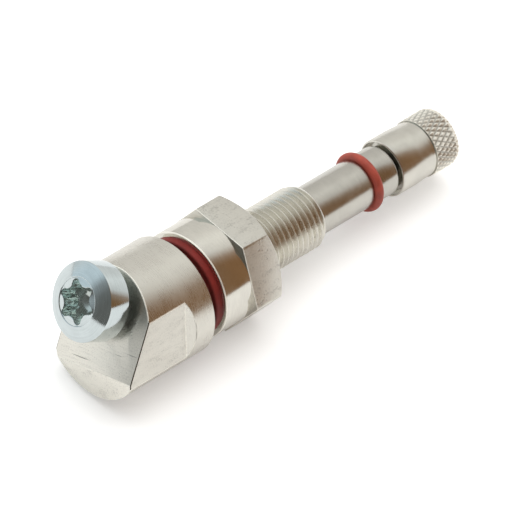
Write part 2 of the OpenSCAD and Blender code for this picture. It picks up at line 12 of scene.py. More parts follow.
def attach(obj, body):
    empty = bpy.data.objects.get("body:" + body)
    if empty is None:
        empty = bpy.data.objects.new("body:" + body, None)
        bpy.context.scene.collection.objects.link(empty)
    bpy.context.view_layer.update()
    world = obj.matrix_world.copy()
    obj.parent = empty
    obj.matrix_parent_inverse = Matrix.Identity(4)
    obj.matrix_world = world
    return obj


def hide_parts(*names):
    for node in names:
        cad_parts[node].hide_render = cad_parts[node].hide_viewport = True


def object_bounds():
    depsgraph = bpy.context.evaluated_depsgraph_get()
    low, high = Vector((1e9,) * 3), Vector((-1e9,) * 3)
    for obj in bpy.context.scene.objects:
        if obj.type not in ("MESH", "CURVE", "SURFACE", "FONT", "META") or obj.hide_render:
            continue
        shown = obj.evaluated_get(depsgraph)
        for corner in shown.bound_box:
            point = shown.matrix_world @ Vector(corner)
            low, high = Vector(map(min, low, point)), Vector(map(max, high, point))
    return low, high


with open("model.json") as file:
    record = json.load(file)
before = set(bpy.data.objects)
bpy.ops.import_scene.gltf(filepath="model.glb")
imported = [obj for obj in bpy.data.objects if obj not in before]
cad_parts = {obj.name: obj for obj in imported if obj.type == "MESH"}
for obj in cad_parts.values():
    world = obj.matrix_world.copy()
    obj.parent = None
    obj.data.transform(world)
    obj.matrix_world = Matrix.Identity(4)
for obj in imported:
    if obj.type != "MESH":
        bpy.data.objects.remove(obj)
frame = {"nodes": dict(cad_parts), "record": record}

bl_info = {
    "name": "Tyre valve looks",
    "version": (1, 0, 0),
    "blender": (4, 5, 0),
    "location": "3D View > Sidebar > Tyre valve",
    "description": "Builds the visible pieces, finishes and studio of a clamp-in tyre valve",
    "category": "Add Mesh",
}

CAD_BOX = [[float(c) for c in corner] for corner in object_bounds()]
JOINTS = {joint["name"]: joint for joint in frame["record"]["behaviour"]["joints"]}


def stem_frame():
    """Axes of the lying stem: +Z along it from the foot to the cap, +X on its upper side."""
    along = Vector(JOINTS["nut_travel"]["axis"]).normalized()
    up = (Vector((0, 0, 1)) - along * along.z).normalized()
    side = along.cross(up)
    return Matrix((up, side, along)).transposed().to_4x4()


STEM = stem_frame()


def length(name, description, mm):
    """A size in metres, given in millimetres."""
    return FloatProperty(name=name, description=description, default=mm / 1000, min=0.0,
                         precision=5, unit="LENGTH")


def angle(name, description, degrees):
    """An angle, given in degrees."""
    return FloatProperty(name=name, description=description, default=math.radians(degrees),
                         subtype="ANGLE")


def count(name, description, number):
    """A whole number of repeats or steps."""
    return IntProperty(name=name, description=description, default=number, min=1)


def colour(name, description, value):
    """A linear colour."""
    return FloatVectorProperty(name=name, description=description, default=value, size=3,
                               min=0.0, max=1.0, subtype="COLOR")


class ValveFootSizes(bpy.types.PropertyGroup):
    """Round foot with its slanted sensor face, side flats and air port"""
    diameter: length("Diameter", "Diameter of the round foot", 18.5)
    reach: length("Length", "Sealing face to end face", 16)
    slant: angle("Slant", "Angle between the sensor face and the end face", 24.8)
    slant_depth: length("Slant depth", "Depth of the sensor face on the stem axis", 2.32)
    near_flat: length("Near flat", "Stem axis to the near side flat", 7.95)
    far_flat: length("Far flat", "Stem axis to the far side flat", 7.75)
    flat_turn: angle("Flat turn", "Turn of the side flats, from square to the slanted face", 7.2)
    flat_length: length("Flat length", "Length of the side flats from the end face", 11.25)
    runout: angle("Run-out", "Steepness of the run-out at the end of a flat", 52)
    turn: angle("Turn", "Turn of the foot about the stem", 21.3)
    edge: length("Edge", "Broken edge round the sealing face", 0.15)
    burr: length("Burr", "Width of the rubbed milled edges", 0.12)
    port: length("Port", "Diameter of the air port", 2.6)
    port_setback: length("Port setback", "Air port to the sealing face", 2.6)
    air_bore: length("Air bore", "Diameter of the air bore", 3)
    screw_offset: length("Screw offset", "Stem axis to the tapped hole", 4.59)
    screw_hole: length("Tapped hole", "Diameter of the tapped hole", 6.1)
    screw_hole_depth: length("Hole depth", "Depth of the tapped hole", 7.3)


class ValveStemSizes(bpy.types.PropertyGroup):
    """Threaded stem, its groove and its tip"""
    thread: length("Clamp thread", "Outer diameter of the clamp thread", 10)
    thread_end: length("Thread end", "End of the clamp thread above the sealing face", 27.1)
    thread_pitch: length("Thread pitch", "Pitch of the clamp thread", 1)
    chamfer_length: length("Chamfer length", "Length of the clamp thread's end chamfer", 0.8)
    chamfer: length("Chamfer", "Height of the clamp thread's end chamfer", 0.4)
    stem: length("Stem", "Diameter of the plain upper stem", 7.8)
    stem_end: length("Stem end", "End of the plain upper stem", 43.2)
    stem_chamfer: length("Stem chamfer", "Chamfer at the end of the plain stem", 0.4)
    groove: length("Groove", "Diameter of the ring's groove", 6.36)
    groove_width: length("Groove width", "Width of the ring's groove", 1.7)
    neck: length("Neck", "Diameter of the relief neck", 6.7)
    neck_length: length("Neck length", "Length of the relief neck", 1.3)
    groove_edge: length("Groove edge", "Rounding at the groove's edges", 0.06)
    end_edge: length("End edge", "Rounding at the edge of the stem's chamfer", 0.1)
    tip: length("Tip", "Outer diameter of the cap thread", 7.7)
    tip_end: length("Tip end", "End of the tip above the sealing face", 51.4)
    tip_pitch: length("Tip pitch", "Pitch of the cap thread", 0.794)
    tip_chamfer: length("Tip chamfer", "Chamfer at the tip", 0.5)
    core_bore: length("Core bore", "Diameter of the core's thread bore", 5.2)
    core_bore_depth: length("Core bore depth", "Depth of the core's thread bore", 5.88)
    seat_top: length("Seat top", "Diameter at the top of the tapered seat", 4.648)
    seat_low: length("Seat low", "Diameter at the bottom of the tapered seat", 3.904)
    seat_end: length("Seat end", "Depth of the tapered seat's end", 8.98)
    chamber: length("Chamber", "Diameter of the core's chamber", 3.8)
    chamber_end: length("Chamber end", "Depth of the chamber's end", 21.08)


class ValveSealSizes(bpy.types.PropertyGroup):
    """Moulded seal at the rim and the round-cord ring on the stem"""
    height: length("Height", "Height of the rim seal", 3)
    neck: length("Neck", "Diameter of the rim seal's neck", 13.6)
    lip: length("Lip", "Diameter of the rim seal's lip", 15.4)
    lip_height: length("Lip height", "Height of the rim seal's lip", 1.25)
    rounding: length("Rounding", "Rounding of the lip", 0.3)
    lip_edge: length("Lip edge", "Rounding of the lip on the nut's side", 0.04)
    neck_edge: length("Neck edge", "Rounding of the neck at the foot", 0.1)
    neck_fillet: length("Neck fillet", "Fillet between the neck and the lip", 0.2)
    cord: length("Cord", "Diameter of the ring's cord", 1.5)
    ring_place: length("Ring place", "Ring above the sealing face", 38.7)


class ValveNutSizes(bpy.types.PropertyGroup):
    """One-piece nut with a round collar"""
    collar: length("Collar", "Diameter of the collar", 16.8)
    front: length("Front", "Front of the collar above the sealing face", 3)
    collar_length: length("Collar length", "Length of the collar", 5.2)
    across_flats: length("Across flats", "Width of the hexagon", 17)
    hex_length: length("Hexagon length", "Length of the hexagon", 5.95)
    face: length("Face", "Diameter of the flat face at the back", 16.6)
    dome: length("Dome", "Radius of the dome that rounds off the back corners", 15)
    bore: length("Bore", "Diameter of the nut's bore", 10.1)
    countersink: length("Countersink", "Countersink at the back", 0.5)
    chamfer: length("Chamfer", "Chamfer at the collar's front", 0.3)
    edge: length("Edge", "Rubbed edge of the hexagon", 0.1)
    rubbed_corner_and_highlight: length("Rubbed corner", "Depth rubbed off the hexagon's corners", 0.06)


class ValveCapSizes(bpy.types.PropertyGroup):
    """Screwed cap with a diamond-knurled head"""
    front: length("Front", "Front of the cap above the sealing face", 43.4)
    skirt: length("Skirt", "Diameter of the skirt", 9.02)
    skirt_length: length("Skirt length", "Length of the straight skirt", 4.1)
    edge: length("Edge", "Broken edge of the skirt", 0.15)
    neck: length("Neck", "Diameter of the neck", 8.7)
    taper_length: length("Taper", "Length of the taper to the neck", 2)
    head_start: length("Head start", "Front to the knurled head", 7)
    head: length("Head", "Diameter over the knurl", 9.22)
    head_length: length("Head length", "Length of the knurled head", 4.6)
    rounding: length("Rounding", "Rounding of the head's end", 0.5)
    mouth: length("Mouth", "Diameter of the wider mouth inside the skirt", 8.5)
    mouth_length: length("Mouth depth", "Depth of the mouth", 1.2)
    bore: length("Bore", "Diameter of the cap's bore", 7.8)
    bore_top: length("Bore top", "Closed end of the bore above the sealing face", 52.3)
    diamonds: count("Diamonds", "Diamonds round the knurl", 32)
    knurl_depth: length("Knurl depth", "Depth of the knurl's grooves", 0.24)
    knurl_slope: angle("Knurl slope", "Slope of the grooves from the stem direction", 30)


class ValveScrewSizes(bpy.types.PropertyGroup):
    """Pan-head screw with a six-lobe key recess"""
    thread: length("Thread", "Thread diameter", 6)
    pitch: length("Pitch", "Thread pitch", 1)
    shank: length("Shank", "Length under the head", 7)
    gap: length("Gap", "Gap left under the head for the bracket", 1.64)
    head: length("Head", "Diameter of the head", 11.75)
    side: length("Side", "Height of the straight side", 3.9)
    cone: length("Cone", "Height of the cone above the side", 1.05)
    rim: length("Rim", "Diameter of the flat rim", 7.1)
    edge: length("Edge", "Broken lower edge", 0.25)
    lower_edge: length("Lower edge", "Rounding under the broken lower edge", 0.08)
    side_edge: length("Side edge", "Rounding between the lower edge and the side", 0.15)
    cone_edge: length("Cone edge", "Rounding between the side and the cone", 0.12)
    rim_edge: length("Rim edge", "Rounding at the flat rim", 0.1)
    bevel: length("Bevel", "Bevel round the key recess", 0.12)
    point: length("Point", "Chamfer at the end of the shank", 0.6)
    lobes: length("Lobes", "Diameter over the recess's lobes", 6.6)
    valleys: length("Valleys", "Diameter over the recess's valleys", 4.8)
    lobe_radius: length("Lobe radius", "Radius of each lobe", 0.62)
    recess: length("Recess", "Depth of the key recess", 3)
    recess_turn: angle("Recess turn", "Turn of the key recess", 18)
    drill: length("Drill point", "Diameter of the drill point", 4.4)
    drill_depth: length("Drill depth", "Depth of the drill point", 0.9)


class ValveFinishes(bpy.types.PropertyGroup):
    """Colours of the finishes"""
    nickel: colour("Nickel", "Warm nickel plate", (0.69, 0.67, 0.61))
    zinc: colour("Zinc", "Bluish zinc plate", (0.60, 0.66, 0.67))
    rim_red: colour("Rim seal", "Dark red moulded rubber", (0.20, 0.022, 0.018))
    ring_red: colour("Ring", "Brick-red silicone", (0.40, 0.065, 0.04))
    # Lighter than the head's zinc: a painted highlight on the recess walls
    recess: colour("Recess", "Bluish zinc plate in the screw's recess", (0.84, 0.92, 0.89))
    # Painted shade along the edges where the slanted face meets the flats
    painted_shade: colour("Painted shade", "Grime along the milled edges", (0.06, 0.045, 0.032))
    brass: colour("Brass", "Valve core brass", (0.72, 0.52, 0.24))
    steel: colour("Spring steel", "Spring wire", (0.55, 0.55, 0.57))
    rubber: colour("Rubber", "Black rubber", (0.02, 0.02, 0.02))
    white: colour("White seal", "White core seal", (0.80, 0.79, 0.75))


class ValveStage(bpy.types.PropertyGroup):
    """Studio round the valve"""
    floor: colour("Floor", "Pale floor", (0.92, 0.92, 0.92))
    floor_radius: length("Floor radius", "Radius of the floor", 4000)
    sweep: colour("Sweep", "Pale backdrop behind the valve", (0.86, 0.85, 0.82))
    cool_sweep: colour("Sweep, left", "Cool end of the backdrop", (0.76, 0.86, 0.91))
    brown_room: colour("Room, right", "Dim room right of the camera", (0.26, 0.145, 0.07))
    grey_room: colour("Room, left", "Dim room left of the camera", (0.16, 0.16, 0.15))
    softbox: FloatProperty(name="Softbox", description="Power of the softbox overhead in watts",
                           default=8.2, min=0.0)


GROUPS = {
    "valve_foot": ValveFootSizes,
    "valve_stem": ValveStemSizes,
    "valve_seals": ValveSealSizes,
    "valve_nut": ValveNutSizes,
    "valve_cap": ValveCapSizes,
    "valve_screw": ValveScrewSizes,
    "valve_finishes": ValveFinishes,
    "valve_stage": ValveStage,
}


# Meshes

STEM_COLUMNS = 128
SCREW_COLUMNS = 144
# Reach within which vertices lie on one ring, and within which doubles are merged
TOUCH = 1e-6
DOUBLES = 1e-7
# Length that counts as none, and the angle before a full turn that counts as one
EMPTY = 1e-9
SEAM = 1e-4
# Depth of a full thread, and length of its fade at the start, in pitches
THREAD_DEPTH = 0.6495
THREAD_FADE = 1.5
# Run-in and run-out of the knurl, and the step down to its shoulder
KNURL_RUN_IN = 0.00018
KNURL_RUN_OUT = 0.00032
KNURL_STEP = 0.00008


def rounded(corners, steps=4):
    """Outline through corners (radius, height, rounding), with an arc at each rounded one."""
    points = []
    for i, corner in enumerate(corners):
        here = Vector(corner[:2])
        bend = corner[2] if len(corner) > 2 else 0
        if not bend:
            points.append(tuple(here))
            continue
        back = (Vector(corners[i - 1][:2]) - here).normalized()
        ahead = (Vector(corners[(i + 1) % len(corners)][:2]) - here).normalized()
        half = back.angle(ahead) / 2
        setback = bend / math.tan(half)
        centre = here + (back + ahead).normalized() * bend / math.sin(half)
        first, last = here + back * setback - centre, here + ahead * setback - centre
        sweep = first.angle_signed(last)
        for k in range(steps + 1):
            points.append(tuple(centre + Matrix.Rotation(-sweep * k / steps, 2) @ first))
    return points


def even_turn(columns):
    """Angles of evenly spaced columns."""
    return [2 * math.pi * k / columns for k in range(columns)]


def revolve(bm, outline, angles, closed=False):
    """Adds a turned surface. A radius or a height may be a function of the angle."""
    at = lambda value, a: value(a) if callable(value) else value
    rows = []
    for radius, height in outline:
        if not callable(radius) and radius < EMPTY:
            rows.append([bm.verts.new((0, 0, height))])
        else:
            rows.append([bm.verts.new((at(radius, a) * math.cos(a), at(radius, a) * math.sin(a),
                                       at(height, a))) for a in angles])
    pairs = list(zip(rows, rows[1:])) + ([(rows[-1], rows[0])] if closed else [])
    n = len(angles)
    for low, high in pairs:
        for k in range(n):
            ring = [low[k % len(low)], low[(k + 1) % len(low)],
                    high[(k + 1) % len(high)], high[k % len(high)]]
            corners = list(dict.fromkeys(ring))
            if len(corners) > 2:
                bm.faces.new(corners)
    return rows


def weld(bm):
    """Merges doubles, drops empty faces and points every face outwards."""
    bmesh.ops.remove_doubles(bm, verts=bm.verts, dist=DOUBLES)
    bmesh.ops.dissolve_degenerate(bm, edges=bm.edges, dist=EMPTY)
    bmesh.ops.recalc_face_normals(bm, faces=bm.faces)


def zip_rings(bm, low, high):
    """Joins two rings of as many vertices, matched by their angle about Z."""
    by_angle = lambda v: math.atan2(v.co.y, v.co.x) % (2 * math.pi - SEAM)
    low, high = sorted(low, key=by_angle), sorted(high, key=by_angle)
    if len(low) != len(high):
        raise RuntimeError(f"rings of {len(low)} and {len(high)} vertices don't match")
    for k in range(len(low)):
        j = (k + 1) % len(low)
        bm.faces.new((low[k], low[j], high[j], high[k]))


def plain_object(name, bm):
    """An object made from a finished bmesh."""
    mesh = bpy.data.meshes.new(name)
    bm.to_mesh(mesh)
    bm.free()
    made = bpy.data.objects.new(name, mesh)
    bpy.context.scene.collection.objects.link(made)
    return made


def piece(name, bm, place, materials, body, node, sharp):
    """Turns a finished bmesh into a piece that rides on a body and stands for a CAD node."""
    bm.transform(place)
    made = plain_object(name, bm)
    for material in materials:
        made.data.materials.append(material)
    made.data.shade_smooth()
    made.data.set_sharp_from_angle(angle=math.radians(sharp))
    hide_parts(node)
    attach(made, body)


def discard(helper):
    """Removes a helper object and its mesh."""
    mesh = helper.data
    bpy.data.objects.remove(helper)
    bpy.data.meshes.remove(mesh)


def evaluated_mesh(helper):
    """Plain mesh of a helper with its modifiers applied; the helper is removed."""
    bpy.context.view_layer.update()
    graph = bpy.context.evaluated_depsgraph_get()
    mesh = bpy.data.meshes.new_from_object(helper.evaluated_get(graph), depsgraph=graph)
    helper.modifiers.clear()
    discard(helper)
    return mesh


# Geometry Nodes

class NodeMaker:
    """Short way to add nodes and maths to a node tree."""

    def __init__(self, tree):
        self.tree = tree

    def add(self, kind, **settings):
        """A node with some of its settings set."""
        made = self.tree.nodes.new(kind)
        for key, value in settings.items():
            setattr(made, key, value)
        return made

    def put(self, socket, value):
        """Links a socket or sets a value."""
        if isinstance(value, bpy.types.NodeSocket):
            self.tree.links.new(value, socket)
        else:
            socket.default_value = value

    def fed(self, kind, inputs, **settings):
        """Outputs of a new node, with its inputs given by name or in their order."""
        made = self.add(kind, **settings)
        for key, value in inputs.items() if isinstance(inputs, dict) else enumerate(inputs):
            self.put(made.inputs[key], value)
        return made.outputs

    def math(self, operation, *values, clamp=False):
        """Result of a maths node."""
        return self.fed("ShaderNodeMath", values, operation=operation, use_clamp=clamp)[0]

    def vector(self, x, y, z):
        """A vector of three numbers."""
        return self.fed("ShaderNodeCombineXYZ", (x, y, z))[0]

    def split(self, vector):
        """The three numbers of a vector."""
        return self.fed("ShaderNodeSeparateXYZ", (vector,))

    def dot(self, vector, axis):
        """Share of a vector along an axis."""
        return self.fed("ShaderNodeVectorMath", (vector, axis), operation="DOT_PRODUCT")["Value"]

    def blend(self, first, share, second):
        """A share of one value and the rest of another."""
        return self.math("ADD", self.math("MULTIPLY", first, share),
                         self.math("MULTIPLY", second, 1 - share))

    def mix(self, share, first, second):
        """A colour between two colours."""
        made = self.add("ShaderNodeMix", data_type="RGBA")
        for key, value in (("Factor", share), ("A", first), ("B", second)):
            self.put(next(s for s in made.inputs if s.name == key and s.enabled), value)
        return next(s for s in made.outputs if s.enabled)

    def ramp(self, value, stops):
        """Colour that changes with a value."""
        made = self.add("ShaderNodeValToRGB")
        self.put(made.inputs["Fac"], value)
        elements = made.color_ramp.elements
        while len(elements) < len(stops):
            elements.new(0.5)
        for element, (at, shade) in zip(elements, stops):
            element.position = at
            element.color = (*shade, 1)
        return made.outputs["Color"]

    def range(self, value, low, high, to_low, to_high):
        """A value moved from one range to another."""
        return self.fed("ShaderNodeMapRange", (value, low, high, to_low, to_high))["Result"]


def turned_tree(name, lengths, counts):
    """Tree with named inputs, and the turn and run of a flat grid over it."""
    tree = bpy.data.node_groups.new(name, "GeometryNodeTree")
    labels = {"Geometry": ["Geometry"], "Float": lengths, "Int": counts, "Material": ["Material"]}
    for kind, names in labels.items():
        for label in names:
            tree.interface.new_socket(label, in_out="INPUT", socket_type="NodeSocket" + kind)
    tree.interface.new_socket("Geometry", in_out="OUTPUT", socket_type="NodeSocketGeometry")
    make = NodeMaker(tree)
    inputs = make.add("NodeGroupInput").outputs
    grid = make.add("GeometryNodeMeshGrid")
    grid.inputs["Size X"].default_value = 1
    grid.inputs["Size Y"].default_value = 1
    make.put(grid.inputs["Vertices X"], make.math("ADD", inputs["Columns"], 1))
    spread = make.split(make.add("GeometryNodeInputPosition").outputs[0])
    turn, run = (make.math("ADD", spread[axis], 0.5) for axis in range(2))
    return tree, make, inputs, grid, turn, run


def close_tree(make, inputs, grid, turn, radius, height):
    """Rolls the grid up to a radius and height, and ends the tree."""
    bend = make.math("MULTIPLY", turn, 2 * math.pi)
    place = make.vector(make.math("MULTIPLY", radius, make.math("COSINE", bend)),
                        make.math("MULTIPLY", radius, make.math("SINE", bend)), height)
    shape = grid.outputs["Mesh"]
    for kind, values in (("SetPosition", {"Position": place}), ("MergeByDistance", {"Distance": TOUCH}),
                         ("RealizeInstances", {}), ("SetMaterial", {"Material": inputs["Material"]})):
        shape = make.fed("GeometryNode" + kind, {"Geometry": shape, **values})["Geometry"]
    make.fed("NodeGroupOutput", (shape,))


def thread_tree():
    """Screw thread: eight rows a pitch follow the helix, cut off square at both ends."""
    tree, make, inputs, grid, turn, run = turned_tree(
        "screw_thread", ["Start", "Length", "Radius", "Depth", "Pitch", "Fade", "Chamfer Length", "Chamfer"],
        ["Columns"])
    m = make.math
    start, long, pitch = inputs["Start"], inputs["Length"], inputs["Pitch"]
    rows = m("ADD", m("CEIL", m("DIVIDE", m("MULTIPLY", long, 8), pitch)), 8)
    make.put(grid.inputs["Vertices Y"], m("ADD", rows, 1))
    spread = m("MULTIPLY", run, m("DIVIDE", m("MULTIPLY", rows, pitch), 8))
    raw = m("SUBTRACT", m("ADD", spread, m("MULTIPLY", turn, pitch)), pitch)
    up = m("MINIMUM", m("MAXIMUM", raw, 0.0), long)
    phase = m("FRACT", m("ADD", m("SUBTRACT", m("DIVIDE", up, pitch), turn), 0.0625))
    ridge = m("ABSOLUTE", m("SUBTRACT", m("MULTIPLY", phase, 2), 1))
    cut = m("DIVIDE", m("SUBTRACT", 0.875, ridge), 0.75, clamp=True)
    fade = m("DIVIDE", up, inputs["Fade"], clamp=True)
    flank = m("SUBTRACT", inputs["Radius"], m("MULTIPLY", m("MULTIPLY", cut, fade), inputs["Depth"]))
    chamfer_start = m("SUBTRACT", long, inputs["Chamfer Length"])
    past = m("DIVIDE", m("SUBTRACT", up, chamfer_start), inputs["Chamfer Length"], clamp=True)
    cone = m("SUBTRACT", inputs["Radius"], m("MULTIPLY", past, inputs["Chamfer"]))
    close_tree(make, inputs, grid, turn, m("MINIMUM", flank, cone), m("ADD", start, up))
    return tree


def knurl_tree():
    """Diamond knurl: two families of sloping grooves on a rounded head."""
    tree, make, inputs, grid, turn, run = turned_tree(
        "diamond_knurl", ["Start", "Length", "Radius", "Depth", "Rounding", "Axial Pitch"],
        ["Diamonds", "Columns", "Rows"])
    m = make.math
    make.put(grid.inputs["Vertices Y"], m("ADD", inputs["Rows"], 1))
    slow = m("SUBTRACT", 1.0, m("POWER", m("SUBTRACT", 1.0, run), 1.5))
    up = m("MULTIPLY", slow, inputs["Length"])
    corner = m("SUBTRACT", inputs["Length"], inputs["Rounding"])
    past = m("MAXIMUM", m("SUBTRACT", up, corner), 0.0)
    square = m("SUBTRACT", m("POWER", inputs["Rounding"], 2), m("POWER", past, 2))
    drop = m("SUBTRACT", inputs["Rounding"], m("SQRT", m("MAXIMUM", square, 0.0)))
    outline = m("SUBTRACT", inputs["Radius"], drop)
    around = m("MULTIPLY", turn, inputs["Diamonds"])
    along = m("DIVIDE", up, inputs["Axial Pitch"])
    cuts = []
    for operation in ("ADD", "SUBTRACT"):
        phase = m("FRACT", m("ADD", m(operation, around, along), 64.0))
        cuts.append(m("MULTIPLY", m("ABSOLUTE", m("SUBTRACT", phase, 0.5)), 2))
    groove = m("DIVIDE", m("SUBTRACT", m("MAXIMUM", *cuts), 0.08), 0.92, clamp=True)
    start_fade = m("DIVIDE", up, KNURL_RUN_IN, clamp=True)
    end_fade = m("DIVIDE", m("SUBTRACT", inputs["Length"], up), KNURL_RUN_OUT, clamp=True)
    depth = m("MULTIPLY", m("MULTIPLY", inputs["Depth"], start_fade), end_fade)
    rim = m("MULTIPLY", m("SUBTRACT", 1.0, start_fade), KNURL_STEP)
    radius = m("SUBTRACT", m("SUBTRACT", outline, m("MULTIPLY", groove, depth)), rim)
    close_tree(make, inputs, grid, turn, radius, m("ADD", inputs["Start"], up))
    return tree


def from_tree(tree, values):
    """Plain mesh that a tree makes from named values."""
    helper = plain_object("helper_" + tree.name, bmesh.new())
    modifier = helper.modifiers.new("rule", "NODES")
    modifier.node_group = tree
    sockets = {item.name: item for item in tree.interface.items_tree
               if item.item_type == "SOCKET" and item.in_out == "INPUT"}
    for label, value in values.items():
        modifier[sockets[label].identifier] = value
    return evaluated_mesh(helper)


def tree_named(name, maker):
    """A node group by name, made the first time."""
    return bpy.data.node_groups.get(name) or maker()


def thread(bm, material, start, long, radius, pitch, columns, chamfer_length, chamfer):
    """Adds a screw thread, open at both ends, and returns its vertices."""
    return add_mesh(bm, from_tree(tree_named("screw_thread", thread_tree), {
        "Start": start, "Length": long, "Radius": radius, "Depth": THREAD_DEPTH * pitch,
        "Pitch": pitch, "Columns": columns, "Fade": THREAD_FADE * pitch,
        "Chamfer Length": chamfer_length, "Chamfer": chamfer, "Material": material}), 0)


def add_mesh(bm, mesh, index=None):
    """Adds a mesh to a bmesh, with one material index where given, and returns its vertices."""
    verts, faces = len(bm.verts), len(bm.faces)
    bm.from_mesh(mesh)
    bpy.data.meshes.remove(mesh)
    bm.verts.ensure_lookup_table()
    bm.faces.ensure_lookup_table()
    if index is not None:
        for face in bm.faces[faces:]:
            face.material_index = index
    return bm.verts[verts:]


def ring_at(verts, height):
    """The vertices that lie at a height."""
    return [v for v in verts if abs(v.co.z - height) < TOUCH]


# Materials

# Depth of the finest marks, and of those of a mill
FINE_RELIEF = 0.00003
MILLED_RELIEF = 0.00004
# Length over which painted shade fades out
SHADE_FADE = 0.0003


class Finish(NodeMaker):
    """A procedural material that reads Object coordinates turned to a piece's own axis."""

    def __init__(self, name, axes=None):
        self.material = bpy.data.materials.new(name)
        self.material.use_nodes = True
        super().__init__(self.material.node_tree)
        self.tree.nodes.clear()
        self.shader = self.add("ShaderNodeBsdfPrincipled")
        self.fed("ShaderNodeOutputMaterial", {"Surface": self.shader.outputs[0]})
        turned = (axes or STEM).inverted()
        self.place = self.fed("ShaderNodeMapping", {
            "Vector": self.add("ShaderNodeTexCoord").outputs["Object"],
            "Rotation": turned.to_euler(), "Location": turned.to_translation()},
            vector_type="POINT")["Vector"]
        self.x, self.y, self.z = self.split(self.place)

    def set(self, **values):
        """Sets sockets of the shader by name."""
        for key, value in values.items():
            self.put(self.shader.inputs[key.replace("_", " ")], value)

    def radial(self):
        """Distance from the piece's axis."""
        return self.math("SQRT", self.math("ADD", self.math("POWER", self.x, 2.0),
                                           self.math("POWER", self.y, 2.0)))

    def stretched(self, scale):
        """Places scaled along each axis, for marks that run one way."""
        return self.fed("ShaderNodeMapping", {"Vector": self.place, "Scale": scale})[0]

    def noise(self, vector, scale, detail=2.0, rough=0.5):
        """Noise from 0 to 1."""
        return self.fed("ShaderNodeTexNoise", {
            "Vector": vector, "Scale": scale, "Detail": detail, "Roughness": rough},
            noise_dimensions="3D")["Fac"]

    def bump(self, height, strength, distance, after=None):
        """Bump from a height, on top of another bump."""
        below = {} if after is None else {"Normal": after}
        return self.fed("ShaderNodeBump", {
            "Strength": strength, "Distance": distance, "Height": height, **below})["Normal"]


def tint(base, factor):
    """A colour made lighter or darker."""
    return tuple(min(1.0, c * factor) for c in base)


def turned_metal(name, base, axes, rough, lines, line_scale, grain=0.0, dark=0.86, metallic=1.0,
                 shade_heights=None):
    """Plated metal with fine turning lines round its axis, and faint stains.

    Given two heights along the axis, painted shade darkens the colour from the second down to the first.
    """
    make = Finish(name, axes)
    tracks = make.vector(make.math("MULTIPLY", make.x, 0.05),
                         make.math("ADD", make.math("MULTIPLY", make.radial(), 0.6),
                                   make.math("MULTIPLY", make.y, 0.05)), make.z)
    fine = make.noise(tracks, line_scale, 3.0, 0.65)
    stain = make.noise(make.place, 420.0, 3.0, 0.6)
    shade = make.ramp(make.blend(fine, 0.55, stain),
                      [(0.3, tint(base, dark)), (0.55, tuple(base)), (0.75, tint(base, 1.06))])
    # Painted shade: the colour grows darker towards the bottom of a hollow
    if shade_heights:
        shade = make.mix(make.range(make.z, *shade_heights, 0, 1), (*tint(base, 0.6), 1), shade)
    make.set(Base_Color=shade, Metallic=metallic,
             Roughness=make.range(make.math("ADD", fine, stain), 0.6, 1.4, rough * 0.8, rough * 1.25))
    relief = make.bump(fine, lines, FINE_RELIEF)
    if grain:
        relief = make.bump(make.noise(make.place, 9000.0), grain, FINE_RELIEF, relief)
    make.set(Normal=relief)
    return make.material


def milled_metal(name, base, axes, rough, scratch, stretch, grain, specks=5200.0, metallic=1.0,
                 scores=0.0):
    """Plated milled face: a granular ground, scratches along one axis and a few dark scores."""
    make = Finish(name, axes)
    lines = make.noise(make.stretched(stretch), 1.0, 4.0, 0.7)
    speck = make.noise(make.place, specks, 3.0, 0.6)
    stain = make.noise(make.place, 300.0, 3.0, 0.6)
    shade = make.ramp(make.blend(lines, 0.5, speck),
                      [(0.36, tint(base, 0.74)), (0.47, tuple(base)), (0.62, tint(base, 1.07))])
    if scores:
        wide = make.stretched([0.35 * s for s in stretch])
        few = make.range(make.noise(wide, 1.0, 2.0, 0.6), scores, scores + 0.03, 0, 1)
        shade = make.mix(few, (*tint(base, 0.3), 1), shade)
    make.set(Base_Color=shade, Metallic=metallic,
             Roughness=make.range(make.math("ADD", speck, stain), 0.6, 1.4, rough * 0.85, rough * 1.2))
    relief = make.bump(lines, scratch, MILLED_RELIEF)
    make.set(Normal=make.bump(speck, grain, MILLED_RELIEF, relief))
    return make.material


def knurled_metal(name, base, axes, outer, depth, end):
    """Plated knurl: tops painted lighter as a painted highlight, and painted shade in its grooves up to the
    end's rounding.
    """
    make = Finish(name, axes)
    stain = make.noise(make.place, 900.0, 3.0, 0.6)
    speck = make.noise(make.place, 9000.0)
    # Mask of the tops and the end, which take the lighter colour; the grooves take painted shade
    rubbed = make.math("MAXIMUM", make.range(make.radial(), outer - depth, outer - 0.35 * depth, 0, 1),
                       make.range(make.z, end - SHADE_FADE, end, 0, 1))
    painted_shade = make.ramp(stain, [(0.3, tint(base, 0.38)), (0.7, tint(base, 0.55))])
    top = make.ramp(stain, [(0.3, tint(base, 0.92)), (0.6, tuple(base)), (0.8, tint(base, 1.05))])
    make.set(Base_Color=make.mix(rubbed, painted_shade, top), Metallic=0.85,
             Roughness=make.range(stain, 0.3, 0.7, 0.38, 0.5),
             Normal=make.bump(speck, 0.05, FINE_RELIEF))
    return make.material


